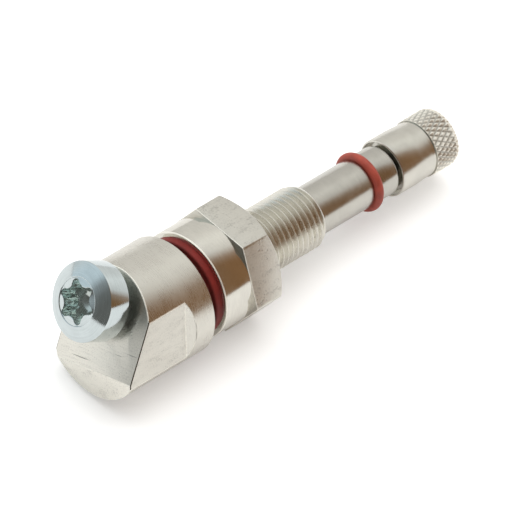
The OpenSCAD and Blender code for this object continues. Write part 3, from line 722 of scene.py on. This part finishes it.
def moulded_rubber(name, base, rough, axes=None, shade_below=None, gloss=0.45):
    """Moulded rubber or silicone with a faint skin and dusty patches, and painted shade below a height."""
    make = Finish(name, axes)
    skin = make.noise(make.place, 5000.0, 3.0, 0.6)
    dust = make.noise(make.place, 700.0, 3.0, 0.6)
    shade = make.ramp(dust, [(0.3, tint(base, 0.82)), (0.55, tuple(base)), (0.8, tint(base, 1.22))])
    # Painted shade: the colour turns nearly black below the given height
    if shade_below:
        unshaded = make.range(make.z, shade_below - SHADE_FADE, shade_below + SHADE_FADE, 0, 1)
        shade = make.mix(unshaded, make.ramp(dust, [(0.3, (0.012, 0.008, 0.006)),
                                                 (0.7, tint(base, 0.3))]), shade)
    make.set(Base_Color=shade, Roughness=make.range(dust, 0.3, 0.7, rough * 0.85, rough * 1.15),
             Specular_IOR_Level=gloss, Normal=make.bump(skin, 0.25, FINE_RELIEF))
    return make.material


# Operators

def sizes(name):
    """One of the scene's groups of sizes."""
    return getattr(bpy.context.scene, name)


def foot_axes():
    """Axes of the foot: +X towards its high side, +Z along the stem."""
    return STEM @ Matrix.Rotation(-sizes("valve_foot").turn, 4, "Z")


def slant_axes():
    """Axes of the slanted face at the screw: +Z square out of the face."""
    foot = sizes("valve_foot")
    rise = -foot.reach + foot.slant_depth + foot.screw_offset * math.tan(foot.slant)
    place = Matrix.Translation((foot.screw_offset, 0, rise))
    return foot_axes() @ place @ Matrix.Rotation(math.pi - foot.slant, 4, "Y")


class ValveMakeFoot(bpy.types.Operator):
    """Makes the round foot with its slanted face, side flats, tapped hole and port"""
    bl_idname = "valve.make_foot"
    bl_label = "Foot"

    # Places of the finishes, and points in each run-out, flat and arc
    TURNED, SLANT, END, FLAT, RUBBED, GRIMY = range(6)
    RUNOUT_ROWS, FLAT_POINTS, ARC_POINTS = 12, 14, 84

    def rows(self, foot):
        """Rows of points: two flats and two arcs, their corners in line from row to row."""
        radius = foot.diameter / 2
        steep = math.tan(foot.runout)
        flat_end = -foot.reach + foot.flat_length
        rises = [(radius - reach) / steep for reach in (foot.near_flat, foot.far_flat)]
        heights = sorted({-foot.reach, flat_end}
                         | {flat_end + rise * k / self.RUNOUT_ROWS
                            for rise in rises for k in range(1, self.RUNOUT_ROWS + 1)})
        near = math.pi / 2 + foot.flat_turn
        made = []
        for height in heights:
            up = max(0.0, height - flat_end) * steep
            halves = [math.acos(min(1.0, (reach + up) / radius))
                      for reach in (foot.near_flat, foot.far_flat)]
            row = []
            for side, reach in enumerate((foot.near_flat + up, foot.far_flat + up)):
                centre, half = near + math.pi * side, halves[side]
                for k in range(self.FLAT_POINTS):
                    a = centre + half * (2 * k / self.FLAT_POINTS - 1)
                    r = min(radius, reach / max(1e-6, math.cos(a - centre)))
                    row.append(Vector((r * math.cos(a), r * math.sin(a), height)))
                arc = math.pi - half - halves[1 - side]
                for k in range(self.ARC_POINTS):
                    a = centre + half + arc * k / self.ARC_POINTS
                    row.append(Vector((radius * math.cos(a), radius * math.sin(a), height)))
            made.append(row)
        return made

    def blank(self, foot):
        """The foot before its holes are drilled, in the foot's axes."""
        bm = bmesh.new()
        rows = self.rows(foot)
        top = rows[-1]
        radius = foot.diameter / 2
        bore = foot.air_bore / 2
        for r, height in ((radius, -foot.edge), (radius - foot.edge, 0.0), (bore, 0.0),
                          (bore, -foot.port_setback - foot.port / 2)):
            rows.append([Vector((p.x / radius * r, p.y / radius * r, height)) for p in top])
        verts = [[bm.verts.new(p) for p in row] for row in rows]
        n = len(top)
        for low, high in zip(verts, verts[1:]):
            for k in range(n):
                bm.faces.new((low[k], low[(k + 1) % n], high[(k + 1) % n], high[k]))
        bm.faces.new(verts[0][::-1])
        bm.faces.new(verts[-1])
        bmesh.ops.remove_doubles(bm, verts=bm.verts, dist=2 * TOUCH)
        bmesh.ops.dissolve_degenerate(bm, edges=bm.edges, dist=DOUBLES)
        out = Vector((math.sin(foot.slant), 0, -math.cos(foot.slant)))
        on = Vector((0, 0, -foot.reach + foot.slant_depth))
        bmesh.ops.bisect_plane(bm, geom=bm.verts[:] + bm.edges[:] + bm.faces[:], dist=TOUCH,
                               plane_co=on, plane_no=out, clear_outer=True)
        bmesh.ops.holes_fill(bm, edges=[e for e in bm.edges if e.is_boundary], sides=0)
        bmesh.ops.recalc_face_normals(bm, faces=bm.faces)
        side = Vector((-math.sin(foot.flat_turn), math.cos(foot.flat_turn), 0))
        self.mark(bm, foot, out, side)
        # Bevelled milled edges take a lighter colour: a painted highlight
        corners = [e for e in bm.edges if e.is_manifold and e.calc_face_angle(0) > 0.35
                   and all(v.co.xy.length > foot.air_bore and v.co.z < -0.0005 for v in e.verts)]
        bmesh.ops.bevel(bm, geom=corners, offset=foot.burr, segments=2, profile=0.5,
                        affect="EDGES", clamp_overlap=False, material=self.RUBBED)
        # Bevels where the flats meet the slanted face take painted shade instead
        for face in bm.faces:
            spot = face.calc_center_median()
            near, far = foot.near_flat - 1.5 * foot.burr, foot.far_flat - 1.5 * foot.burr
            at_flat = spot.dot(side) > near or spot.dot(side) < -far
            at_slant = (spot - on).dot(out) > -2 * foot.burr and face.normal.dot(out) > 0.15
            if face.material_index == self.RUBBED and at_flat and at_slant:
                face.material_index = self.GRIMY
        return bm

    def mark(self, bm, foot, out, side):
        """Gives the turned side, the slanted face, the end face and the flats their finishes."""
        for face in bm.faces:
            normal, spot = face.normal, face.calc_center_median()
            face.material_index = self.TURNED
            if normal.dot(out) > 0.999:
                face.material_index = self.SLANT
            elif normal.z < -0.999 and spot.z < -foot.reach + 1e-4:
                face.material_index = self.END
            elif abs(normal.z) < 1e-3 and abs(normal.dot(side)) > 0.9999:
                if spot.dot(normal) < foot.near_flat + 2 * TOUCH:
                    face.material_index = self.FLAT

    def cutter(self, name, place, radius, low, high):
        """A round cutter along a place's Z."""
        bm = bmesh.new()
        revolve(bm, [(0, low), (radius, low), (radius, high), (0, high)], even_turn(96))
        weld(bm)
        bm.transform(place)
        return plain_object(name, bm)

    def execute(self, context):
        foot = sizes("valve_foot")
        metal = tuple(sizes("valve_finishes").nickel)
        axes = foot_axes()
        blank = plain_object("foot_blank", self.blank(foot))
        port = Matrix.Translation((0, 0, -foot.port_setback)) @ Matrix.Rotation(-math.pi / 2, 4, "Y")
        drills = [
            self.cutter("screw_drill", axes.inverted() @ slant_axes(), foot.screw_hole / 2,
                        -foot.screw_hole_depth, 0.002),
            self.cutter("port_drill", port, foot.port / 2, 0.0, foot.diameter),
        ]
        for drill in drills:
            cut = blank.modifiers.new(drill.name, "BOOLEAN")
            cut.operation, cut.solver, cut.object = "DIFFERENCE", "EXACT", drill
        bm = bmesh.new()
        add_mesh(bm, evaluated_mesh(blank))
        for drill in drills:
            discard(drill)
        weld(bm)
        finishes = [
            turned_metal("turned_foot", metal, axes, rough=0.28, lines=0.3, line_scale=12000.0, grain=0.08),
            milled_metal("milled_slant", tint(metal, 1.08), slant_axes(), rough=0.3, scratch=0.45,
                         stretch=(9000, 260, 900), grain=0.5, specks=4200.0, scores=0.29),
            # End face painted lighter than the other milled faces: a painted reflection of the bright floor
            milled_metal("milled_end", tint(metal, 1.3), axes, rough=0.42, scratch=0.12,
                         stretch=(900, 300, 900), grain=0.12, metallic=0.8),
            milled_metal("milled_flat", tint(metal, 0.97), axes, rough=0.36, scratch=0.15,
                         stretch=(900, 900, 260), grain=0.10),
            # Lighter bevel colour is a painted highlight; the next finish is painted shade
            milled_metal("painted_edge_highlight", tint(metal, 1.4), axes, rough=0.4, scratch=0.1,
                         stretch=(900, 900, 900), grain=0.1, metallic=0.5),
            milled_metal("painted_edge_shade", tuple(sizes("valve_finishes").painted_shade), axes, rough=0.5, scratch=0.2,
                         stretch=(900, 900, 900), grain=0.3),
        ]
        piece("valve_foot", bm, axes, finishes, "stem", "valve_body", 28)
        return {"FINISHED"}


class ValveMakeStem(bpy.types.Operator):
    """Makes the threaded stem with its groove, its tip and the bore for the core"""
    bl_idname = "valve.make_stem"
    bl_label = "Stem"

    def execute(self, context):
        stem, foot = sizes("valve_stem"), sizes("valve_foot")
        seals = sizes("valve_seals")
        metal = tuple(sizes("valve_finishes").nickel)
        bright = turned_metal("bright_thread", tint(metal, 1.1), STEM, rough=0.27, lines=0.2,
                              line_scale=9000.0)
        plain = turned_metal("turned_stem", tint(metal, 0.8), STEM, rough=0.2, lines=0.2,
                             line_scale=14000.0, grain=0.05)
        # Painted highlight: the chamfer at the plain stem's end is painted lighter
        chamfer_highlight = turned_metal("painted_chamfer_highlight", tint(metal, 1.4), STEM, rough=0.5, lines=0.2,
                            line_scale=9000.0, metallic=0.35)
        bm = bmesh.new()
        turns = even_turn(STEM_COLUMNS)
        low, high = seals.ring_place - stem.groove_width / 2, seals.ring_place + stem.groove_width / 2
        neck_end = stem.stem_end + stem.neck_length
        outer = rounded([
            (stem.stem / 2, stem.thread_end),
            (stem.stem / 2, low, stem.groove_edge), (stem.groove / 2, low), (stem.groove / 2, high),
            (stem.stem / 2, high, stem.groove_edge),
            (stem.stem / 2, stem.stem_end - stem.stem_chamfer, stem.end_edge),
            (stem.stem / 2 - stem.stem_chamfer, stem.stem_end),
            (stem.neck / 2, stem.stem_end), (stem.neck / 2, neck_end), (stem.tip / 2, neck_end),
        ])
        rows = revolve(bm, outer, turns)
        stem_low, tip_low = rows[0], rows[-1]
        bore = [(foot.air_bore / 2, 0.0), (foot.air_bore / 2, stem.tip_end - stem.chamber_end),
                (stem.chamber / 2, stem.tip_end - stem.chamber_end),
                (stem.chamber / 2, stem.tip_end - stem.seat_end),
                (stem.seat_low / 2, stem.tip_end - stem.seat_end),
                (stem.seat_top / 2, stem.tip_end - stem.core_bore_depth),
                (stem.core_bore / 2, stem.tip_end - stem.core_bore_depth),
                (stem.core_bore / 2, stem.tip_end)]
        inner = revolve(bm, bore, turns)
        tip_long = stem.tip_end - neck_end
        clamp = thread(bm, bright, 0.0, stem.thread_end, stem.thread / 2, stem.thread_pitch,
                       STEM_COLUMNS, stem.chamfer_length, stem.chamfer)
        zip_rings(bm, ring_at(clamp, 0.0), inner[0])
        zip_rings(bm, ring_at(clamp, stem.thread_end), stem_low)
        tip = thread(bm, bright, neck_end, tip_long, stem.tip / 2, stem.tip_pitch, STEM_COLUMNS,
                     stem.tip_chamfer, stem.tip_chamfer)
        zip_rings(bm, ring_at(tip, neck_end), tip_low)
        zip_rings(bm, ring_at(tip, stem.tip_end), inner[-1])
        for face in bm.faces:
            spot = face.calc_center_median()
            on_thread = spot.z < stem.thread_end or spot.z > neck_end
            face.material_index = 0 if on_thread else 1
            # Faces of the stem's end chamfer take the painted highlight
            on_chamfer = stem.stem_end - stem.stem_chamfer < spot.z < stem.stem_end
            if on_chamfer and spot.xy.length > stem.neck / 2 + 0.0001:
                face.material_index = 2
        weld(bm)
        piece("threaded_stem", bm, STEM, [bright, plain, chamfer_highlight], "stem", "valve_body", 30)
        return {"FINISHED"}


class ValveMakeSeals(bpy.types.Operator):
    """Makes the moulded rim seal and the round-cord ring of the stem"""
    bl_idname = "valve.make_seals"
    bl_label = "Seals"

    def execute(self, context):
        seals, stem = sizes("valve_seals"), sizes("valve_stem")
        finishes = sizes("valve_finishes")
        turns = even_turn(STEM_COLUMNS)
        bm = bmesh.new()
        bore = stem.thread / 2
        lip_low = seals.height - seals.lip_height
        revolve(bm, rounded([
            (bore, 0.0), (seals.neck / 2, 0.0, seals.neck_edge),
            (seals.neck / 2, lip_low, seals.neck_fillet), (seals.lip / 2, lip_low, seals.rounding),
            (seals.lip / 2, seals.height, seals.lip_edge),
            (bore, seals.height)]), turns, closed=True)
        weld(bm)
        # The neck below the lip is painted dark: painted shade in the gap against the foot
        red = moulded_rubber("moulded_rim_rubber", tuple(finishes.rim_red), 0.5, STEM, lip_low, 0.22)
        piece("rim_seal_ring", bm, STEM, [red], "stem", "rim_seal", 50)
        bm = bmesh.new()
        cord = seals.cord / 2
        middle = stem.groove / 2 + cord
        revolve(bm, [(middle + cord * math.cos(a), seals.ring_place + cord * math.sin(a))
                     for a in even_turn(32)], turns, closed=True)
        weld(bm)
        brick = moulded_rubber("brick_silicone", tuple(finishes.ring_red), 0.5)
        piece("stem_o_ring", bm, STEM, [brick], "stem", "stem_ring", 80)
        return {"FINISHED"}


class ValveMakeNut(bpy.types.Operator):
    """Makes the clamp nut with its polished collar and rough hexagon"""
    bl_idname = "valve.make_nut"
    bl_label = "Clamp nut"

    def execute(self, context):
        nut = sizes("valve_nut")
        metal = tuple(sizes("valve_finishes").nickel)
        half = nut.across_flats / 2
        corner = half / math.cos(math.pi / 6)
        # Degrees from the middle of a flat, closer together towards its corner
        steps = [6, 12, 17, 22, 26, 28, 29, 29.55]
        offsets = [-a for a in steps] + [0] + steps + [30]
        turns = sorted(math.radians(60 * k + a) for k in range(6) for a in offsets)

        def hexagon(inset):
            """Radius of the hexagon, its corners rubbed and its flats set in."""
            def at(a):
                from_flat = (a + math.pi / 6) % (math.pi / 3) - math.pi / 6
                return min((half - inset) / math.cos(from_flat), corner - inset - nut.rubbed_corner_and_highlight)
            return at

        hex_low = nut.front + nut.collar_length
        back = hex_low + nut.hex_length
        face = nut.face / 2
        dome_centre = back - math.sqrt(nut.dome ** 2 - face ** 2)

        def dome(r):
            """Height of the dome that rounds off the corners."""
            return min(back, dome_centre + math.sqrt(nut.dome ** 2 - r ** 2))

        def sloping(inset, share, below=0.0):
            """Point of the back between the hexagon's edge and the flat face."""
            at = lambda a: hexagon(inset)(a) * (1 - share) + face * share
            return at, lambda a: dome(at(a)) - below

        round_r = nut.collar / 2
        edge = nut.edge
        outline = [
            (nut.bore / 2, nut.front), (round_r - nut.chamfer, nut.front),
            (round_r - nut.chamfer * 0.3, nut.front + nut.chamfer * 0.3),
            (round_r, nut.front + nut.chamfer), (round_r, hex_low - 0.0001),
            (round_r + 0.00002, hex_low), (hexagon(edge * 0.9), hex_low),
            (hexagon(edge * 0.3), hex_low + edge * 0.3), (hexagon(0.0), hex_low + edge),
            sloping(0.0, 0.0, edge), sloping(edge * 0.3, 0.0, edge * 0.3), sloping(edge, 0.0),
            sloping(edge, 0.35), sloping(edge, 0.7), (face - 0.0001, back),
            (nut.bore / 2 + nut.countersink, back),
            (nut.bore / 2, back - nut.countersink),
        ]
        bm = bmesh.new()
        revolve(bm, outline, turns, closed=True)
        weld(bm)
        for face in bm.faces:
            spot = face.calc_center_median()
            side = abs(face.normal.z) < 0.5 and spot.z > hex_low
            face.material_index = 0
            if side and spot.xy.length > half * 0.97:
                face.material_index = 1
            elif spot.z > hex_low - 1e-5:
                face.material_index = 2
            # Painted highlight: the hexagon's lower edge and the collar's front chamfer take the lighter
            # colour
            rubbed = hex_low < spot.z < hex_low + edge and spot.xy.length > half * 0.97
            if rubbed or (spot.z < nut.front + nut.chamfer and 0.2 < abs(face.normal.z) < 0.9):
                face.material_index = 3
        finishes = [
            turned_metal("polished_collar", tint(metal, 1.03), STEM, rough=0.13, lines=0.10,
                         line_scale=12000.0),
            milled_metal("rough_hexagon", tint(metal, 0.94), STEM, rough=0.3, scratch=0.2,
                         stretch=(700, 700, 260), grain=1.0, specks=3400.0),
            turned_metal("faced_hexagon", metal, STEM, rough=0.3, lines=0.3, line_scale=9000.0),
            # Lighter colour on edges: a painted highlight
            turned_metal("rubbed_corner_and_highlight", tint(metal, 1.4), STEM, rough=0.4, lines=0.2, line_scale=9000.0,
                         metallic=0.5),
        ]
        piece("collar_nut", bm, STEM, finishes, "nut", "clamp_nut", 25)
        return {"FINISHED"}


class ValveMakeCap(bpy.types.Operator):
    """Makes the screwed cap with its diamond-knurled head"""
    bl_idname = "valve.make_cap"
    bl_label = "Cap"

    def execute(self, context):
        cap = sizes("valve_cap")
        metal = tuple(sizes("valve_finishes").nickel)
        satin = turned_metal("satin_cap", tint(metal, 0.96), STEM, rough=0.22, lines=0.2,
                             line_scale=14000.0, grain=0.05)
        # Knurl painted lighter than the cap on its tops and dark in its grooves: painted highlight and
        # painted shade
        rubbed = knurled_metal("knurl_painted_light", tint(metal, 1.42), STEM, cap.head / 2, cap.knurl_depth,
                               cap.front + cap.head_start + cap.head_length - cap.rounding)
        columns = cap.diamonds * 12
        turns = even_turn(columns)
        head_start = cap.front + cap.head_start
        head_end = head_start + cap.head_length
        skirt_end = cap.front + cap.skirt_length
        mouth_end = cap.front + cap.mouth_length
        inside = [(0.0, cap.bore_top), (cap.bore / 2, cap.bore_top), (cap.bore / 2, mouth_end),
                  (cap.mouth / 2, mouth_end), (cap.mouth / 2, cap.front)]
        outside = [
            (cap.skirt / 2 - cap.edge, cap.front),
            (cap.skirt / 2 - cap.edge * 0.3, cap.front + cap.edge * 0.3),
            (cap.skirt / 2, cap.front + cap.edge), (cap.skirt / 2, skirt_end - 0.0004),
            (cap.skirt / 2 - 0.00001, skirt_end), (cap.neck / 2 + 0.00001, skirt_end + cap.taper_length),
            (cap.neck / 2, skirt_end + cap.taper_length + 0.0003), (cap.neck / 2, head_start),
        ]
        bm = bmesh.new()
        body = revolve(bm, inside + outside, turns)
        pitch = math.pi * cap.head / cap.diamonds / math.tan(cap.knurl_slope)
        knurl = add_mesh(bm, from_tree(tree_named("diamond_knurl", knurl_tree), {
            "Start": head_start, "Length": cap.head_length, "Radius": cap.head / 2,
            "Depth": cap.knurl_depth, "Rounding": cap.rounding, "Axial Pitch": pitch,
            "Diamonds": cap.diamonds, "Columns": columns, "Rows": 60, "Material": rubbed}), 1)
        zip_rings(bm, body[-1], ring_at(knurl, head_start))
        end = cap.head / 2 - cap.rounding
        lid = revolve(bm, [(end * 0.97, head_end), (end * 0.6, head_end), (0.0, head_end)], turns)
        zip_rings(bm, ring_at(knurl, head_end), lid[0])
        for face in bm.faces:
            if abs(face.calc_center_median().z - head_start) < 0.00002:
                face.material_index = 1
        weld(bm)
        piece("knurled_cap", bm, STEM, [satin, rubbed], "cap", "valve_cap", 28)
        return {"FINISHED"}


class ValveMakeScrew(bpy.types.Operator):
    """Makes the pan-head screw with its six-lobe recess and its thread"""
    bl_idname = "valve.make_screw"
    bl_label = "Sensor screw"

    def recess(self, screw):
        """Radius of the six-lobe recess at an angle: lobe arcs and valley arcs that touch."""
        lobe = screw.lobe_radius
        far = screw.lobes / 2 - lobe
        near = screw.valleys / 2
        cos = math.cos(math.pi / 6)
        valley = ((lobe ** 2 - near ** 2 - far ** 2 + 2 * near * far * cos)
                  / (2 * (near - far * cos - lobe)))
        middle = near + valley
        meet = Vector((far, 0)).lerp(Vector((middle * cos, middle / 2)), lobe / (lobe + valley))
        switch = math.atan2(meet.y, meet.x)

        def at(a):
            a = abs((a - screw.recess_turn + math.pi / 6) % (math.pi / 3) - math.pi / 6)
            if a <= switch:
                return far * math.cos(a) + math.sqrt(max(0, lobe ** 2 - (far * math.sin(a)) ** 2))
            b = math.pi / 6 - a
            return middle * math.cos(b) - math.sqrt(max(0, valley ** 2 - (middle * math.sin(b)) ** 2))
        return at

    def execute(self, context):
        screw = sizes("valve_screw")
        colours = sizes("valve_finishes")
        axes = slant_axes() @ Matrix.Translation((0, 0, screw.gap))
        lobes = self.recess(screw)
        top = screw.side + screw.cone
        floor = top - screw.recess
        drill = screw.drill / 2
        bevel = screw.bevel
        head = rounded([
            (screw.thread / 2, 0.0), (screw.head / 2 - screw.edge, 0.0, screw.lower_edge),
            (screw.head / 2, screw.edge, screw.side_edge),
            (screw.head / 2, screw.side, screw.cone_edge), (screw.rim / 2, top, screw.rim_edge),
        ])
        key = [
            (lambda a: min(lobes(a) + bevel, screw.rim / 2 - 0.00006), top),
            (lambda a: lobes(a) + bevel * 0.3, top - bevel * 0.4),
            (lobes, top - bevel * 1.3), (lobes, floor + 0.0001),
            (lambda a: max(drill * 0.99, lobes(a) - 0.0002), floor),
            (drill * 0.985, floor - 0.00001), (drill * 0.5, floor - screw.drill_depth * 0.5),
            (0.0, floor - screw.drill_depth),
        ]
        bm = bmesh.new()
        turns = even_turn(SCREW_COLUMNS)
        rows = revolve(bm, head + key, turns)
        bright = turned_metal("bright_zinc", tuple(colours.zinc), axes, rough=0.08, lines=0.06,
                              line_scale=6000.0, grain=0.10)
        # Recess painted lighter than the head as a painted highlight, and darker towards its floor as
        # painted shade
        recess_light = turned_metal("recess_zinc_painted_light", tuple(colours.recess), axes, rough=0.1, lines=0.05,
                               line_scale=3000.0, grain=0.04, dark=0.9, metallic=0.95,
                               shade_heights=(floor - 0.0002, floor + 0.0014))
        shank = thread(bm, bright, -screw.shank, screw.shank, screw.thread / 2, screw.pitch,
                       SCREW_COLUMNS, chamfer_length=0.0001, chamfer=0.00001)
        zip_rings(bm, rows[0], ring_at(shank, 0.0))
        end = revolve(bm, [(0.0, -screw.shank), (screw.thread / 2 - screw.point, -screw.shank)], turns)
        zip_rings(bm, ring_at(shank, -screw.shank), end[-1])
        bmesh.ops.remove_doubles(bm, verts=bm.verts, dist=DOUBLES)
        tip_start = -screw.shank + screw.point
        for v in bm.verts:
            limit = screw.thread / 2 - max(0.0, tip_start - v.co.z)
            if v.co.z < tip_start and v.co.xy.length > limit:
                v.co.xy = v.co.xy.normalized() * limit
        for face in bm.faces:
            spot = face.calc_center_median()
            inside = floor - screw.drill_depth - TOUCH < spot.z < top - bevel
            if inside and spot.xy.length < screw.lobes / 2 + bevel:
                face.material_index = 1
        weld(bm)
        piece("lobe_screw", bm, axes, [bright, recess_light], "screw", "sensor_screw", 30)
        return {"FINISHED"}


class ValveFinishCore(bpy.types.Operator):
    """Gives the pieces of the valve core and the cap's gasket their finishes"""
    bl_idname = "valve.finish_core"
    bl_label = "Core finishes"

    def execute(self, context):
        colours = sizes("valve_finishes")
        brass = turned_metal("turned_brass", tuple(colours.brass), STEM, rough=0.28, lines=0.3,
                             line_scale=5200.0)
        wire = turned_metal("spring_wire", tuple(colours.steel), STEM, rough=0.3, lines=0.1,
                            line_scale=3000.0)
        black = moulded_rubber("black_rubber", tuple(colours.rubber), 0.55)
        white = moulded_rubber("white_core_seal", tuple(colours.white), 0.4)
        for material, nodes in (
                (brass, ("core_plug", "core_barrel", "core_pin", "poppet_cup")),
                (wire, ("core_spring",)), (black, ("cap_gasket", "poppet_seal")),
                (white, ("barrel_seal",))):
            for name in nodes:
                slots = frame["nodes"][name].material_slots
                if not slots:
                    raise RuntimeError(f"{name} has no material slot")
                for held in slots:
                    held.material = material
        return {"FINISHED"}


# Camera fitted to the picture: its place, its right and upper sides, its lens and sensor
CAMERA_PLACE = (-0.91804872, -0.7574343, 1.27042323)
CAMERA_RIGHT = Vector((0.71259652, -0.69264826, 0.1115553))
CAMERA_UP = Vector((0.45522762, 0.57748602, 0.67770031))
CAMERA_LENS, CAMERA_SENSOR = 857.963, 36
# Softbox overhead, aimed at the middle of the valve, and the side the viewer stands on
SOFTBOX_PLACE, SOFTBOX_SIZE = Vector((0.05, 0.05, 0.95)), 1.3
VALVE_MIDDLE = Vector((0.015, 0, 0))
VIEWER_SIDE = (-0.5, -0.866, 0.0)
# Glow that keeps the floor white to the camera and in metal
CAMERA_GLOW, GLOSSY_GLOW = 0.3, 0.12


class ValveMakeStage(bpy.types.Operator):
    """Makes the pale floor, the soft light and the camera"""
    bl_idname = "valve.make_stage"
    bl_label = "Studio"

    def floor(self, stage, level):
        """Pale floor that keeps the shadow and looks white to the camera and in metal."""
        bm = bmesh.new()
        revolve(bm, [(stage.floor_radius, level), (0.3, level), (0.0, level)], even_turn(96))
        weld(bm)
        for face in bm.faces:
            if face.normal.z < 0:
                face.normal_flip()
        made = plain_object("floor", bm)
        material = bpy.data.materials.new("pale_floor")
        material.use_nodes = True
        make = NodeMaker(material.node_tree)
        make.tree.nodes.clear()
        rays = make.add("ShaderNodeLightPath").outputs
        seen = make.math("ADD", make.math("MULTIPLY", rays["Is Camera Ray"], CAMERA_GLOW),
                         make.math("MULTIPLY", rays["Is Glossy Ray"], GLOSSY_GLOW))
        matt = make.fed("ShaderNodeBsdfDiffuse", {"Color": (*stage.floor, 1)})[0]
        glow = make.fed("ShaderNodeEmission", {"Strength": seen})[0]
        both = make.fed("ShaderNodeAddShader", (matt, glow))[0]
        make.fed("ShaderNodeOutputMaterial", {"Surface": both})
        made.data.materials.append(material)

    def world(self, stage):
        """Pale sweep behind the valve, a dim room on the viewer's side, white for the camera."""
        world = bpy.data.worlds.new("studio")
        bpy.context.scene.world = world
        world.use_nodes = True
        make = NodeMaker(world.node_tree)
        make.tree.nodes.clear()
        way = make.add("ShaderNodeTexCoord").outputs["Generated"]
        viewer = make.range(make.dot(way, VIEWER_SIDE), -1, 1, 0, 1)
        sweep, brown, grey = tuple(stage.sweep), tuple(stage.brown_room), tuple(stage.grey_room)
        blend = lambda a, b, share: tuple(Vector(a).lerp(Vector(b), share))
        right = make.ramp(viewer, [
            (0.0, tint(sweep, 0.88)), (0.16, tint(sweep, 1.01)), (0.27, tint(sweep, 1.18)),
            (0.46, tint(sweep, 0.95)), (0.52, blend(sweep, brown, 0.5)), (0.55, blend(sweep, brown, 0.8)),
            (0.62, blend(sweep, brown, 0.95)), (0.66, brown), (1.0, brown)])
        cool = tuple(stage.cool_sweep)
        left = make.ramp(viewer, [
            (0.0, tint(sweep, 0.86)), (0.20, cool), (0.40, tint(cool, 0.94)),
            (0.50, blend(cool, grey, 0.7)), (0.61, blend(cool, grey, 0.93)), (0.71, grey), (1.0, grey)])
        across = make.range(make.dot(way, (1.0, 0.0, 0.0)), -0.45, 0.35, 0, 1)
        light = make.fed("ShaderNodeBackground", {"Color": make.mix(across, left, right)})[0]
        white = make.fed("ShaderNodeBackground", {"Color": (1, 1, 1, 1)})[0]
        camera = make.add("ShaderNodeLightPath").outputs["Is Camera Ray"]
        both = make.fed("ShaderNodeMixShader", (camera, light, white))[0]
        make.fed("ShaderNodeOutputWorld", {"Surface": both})

    def softbox(self, watts):
        """A soft square lamp overhead that doesn't show in metal."""
        data = bpy.data.lights.new("softbox", "AREA")
        data.shape, data.size, data.energy = "SQUARE", SOFTBOX_SIZE, watts
        made = bpy.data.objects.new("softbox", data)
        made.location = SOFTBOX_PLACE
        made.rotation_euler = (VALVE_MIDDLE - SOFTBOX_PLACE).to_track_quat("-Z", "Y").to_euler()
        made.visible_glossy = False
        bpy.context.scene.collection.objects.link(made)

    def camera(self):
        """Long-lens camera at the picture's viewing angle."""
        data = bpy.data.cameras.new("camera")
        data.lens, data.sensor_width = CAMERA_LENS, CAMERA_SENSOR
        data.clip_start, data.clip_end = 0.01, 20
        made = bpy.data.objects.new("camera", data)
        back = CAMERA_RIGHT.cross(CAMERA_UP)
        turn = Matrix((CAMERA_RIGHT, CAMERA_UP, back)).transposed().to_4x4()
        made.matrix_world = Matrix.Translation(CAMERA_PLACE) @ turn
        bpy.context.scene.collection.objects.link(made)
        bpy.context.scene.camera = made

    def execute(self, context):
        stage = sizes("valve_stage")
        self.floor(stage, CAD_BOX[0][2])
        self.world(stage)
        self.softbox(stage.softbox)
        self.camera()
        bpy.context.scene.view_settings.view_transform = "Standard"
        return {"FINISHED"}


class VALVE_PT_pieces(bpy.types.Panel):
    """Lists the pieces of the valve and their sizes"""
    bl_idname = "VALVE_PT_pieces"
    bl_label = "Tyre valve"
    bl_space_type = "VIEW_3D"
    bl_region_type = "UI"
    bl_category = "Tyre valve"

    def draw(self, context):
        for operator in OPERATORS:
            self.layout.operator(operator.bl_idname)
        for name, group in GROUPS.items():
            box = self.layout.box()
            box.label(text=group.__doc__)
            for key in group.__annotations__:
                box.prop(getattr(context.scene, name), key)


OPERATORS = (ValveMakeFoot, ValveMakeStem, ValveMakeSeals, ValveMakeNut, ValveMakeCap,
             ValveMakeScrew, ValveFinishCore, ValveMakeStage)
CLASSES = tuple(GROUPS.values()) + OPERATORS + (VALVE_PT_pieces,)


def register():
    for cls in CLASSES:
        bpy.utils.register_class(cls)
    for name, group in GROUPS.items():
        setattr(bpy.types.Scene, name, PointerProperty(type=group))


def unregister():
    for name in GROUPS:
        delattr(bpy.types.Scene, name)
    for cls in reversed(CLASSES):
        bpy.utils.unregister_class(cls)


def main():
    register()
    bpy.ops.valve.make_foot()
    bpy.ops.valve.make_stem()
    bpy.ops.valve.make_seals()
    bpy.ops.valve.make_nut()
    bpy.ops.valve.make_cap()
    bpy.ops.valve.make_screw()
    bpy.ops.valve.finish_core()
    bpy.ops.valve.make_stage()


if __name__ == "__main__":
    main()
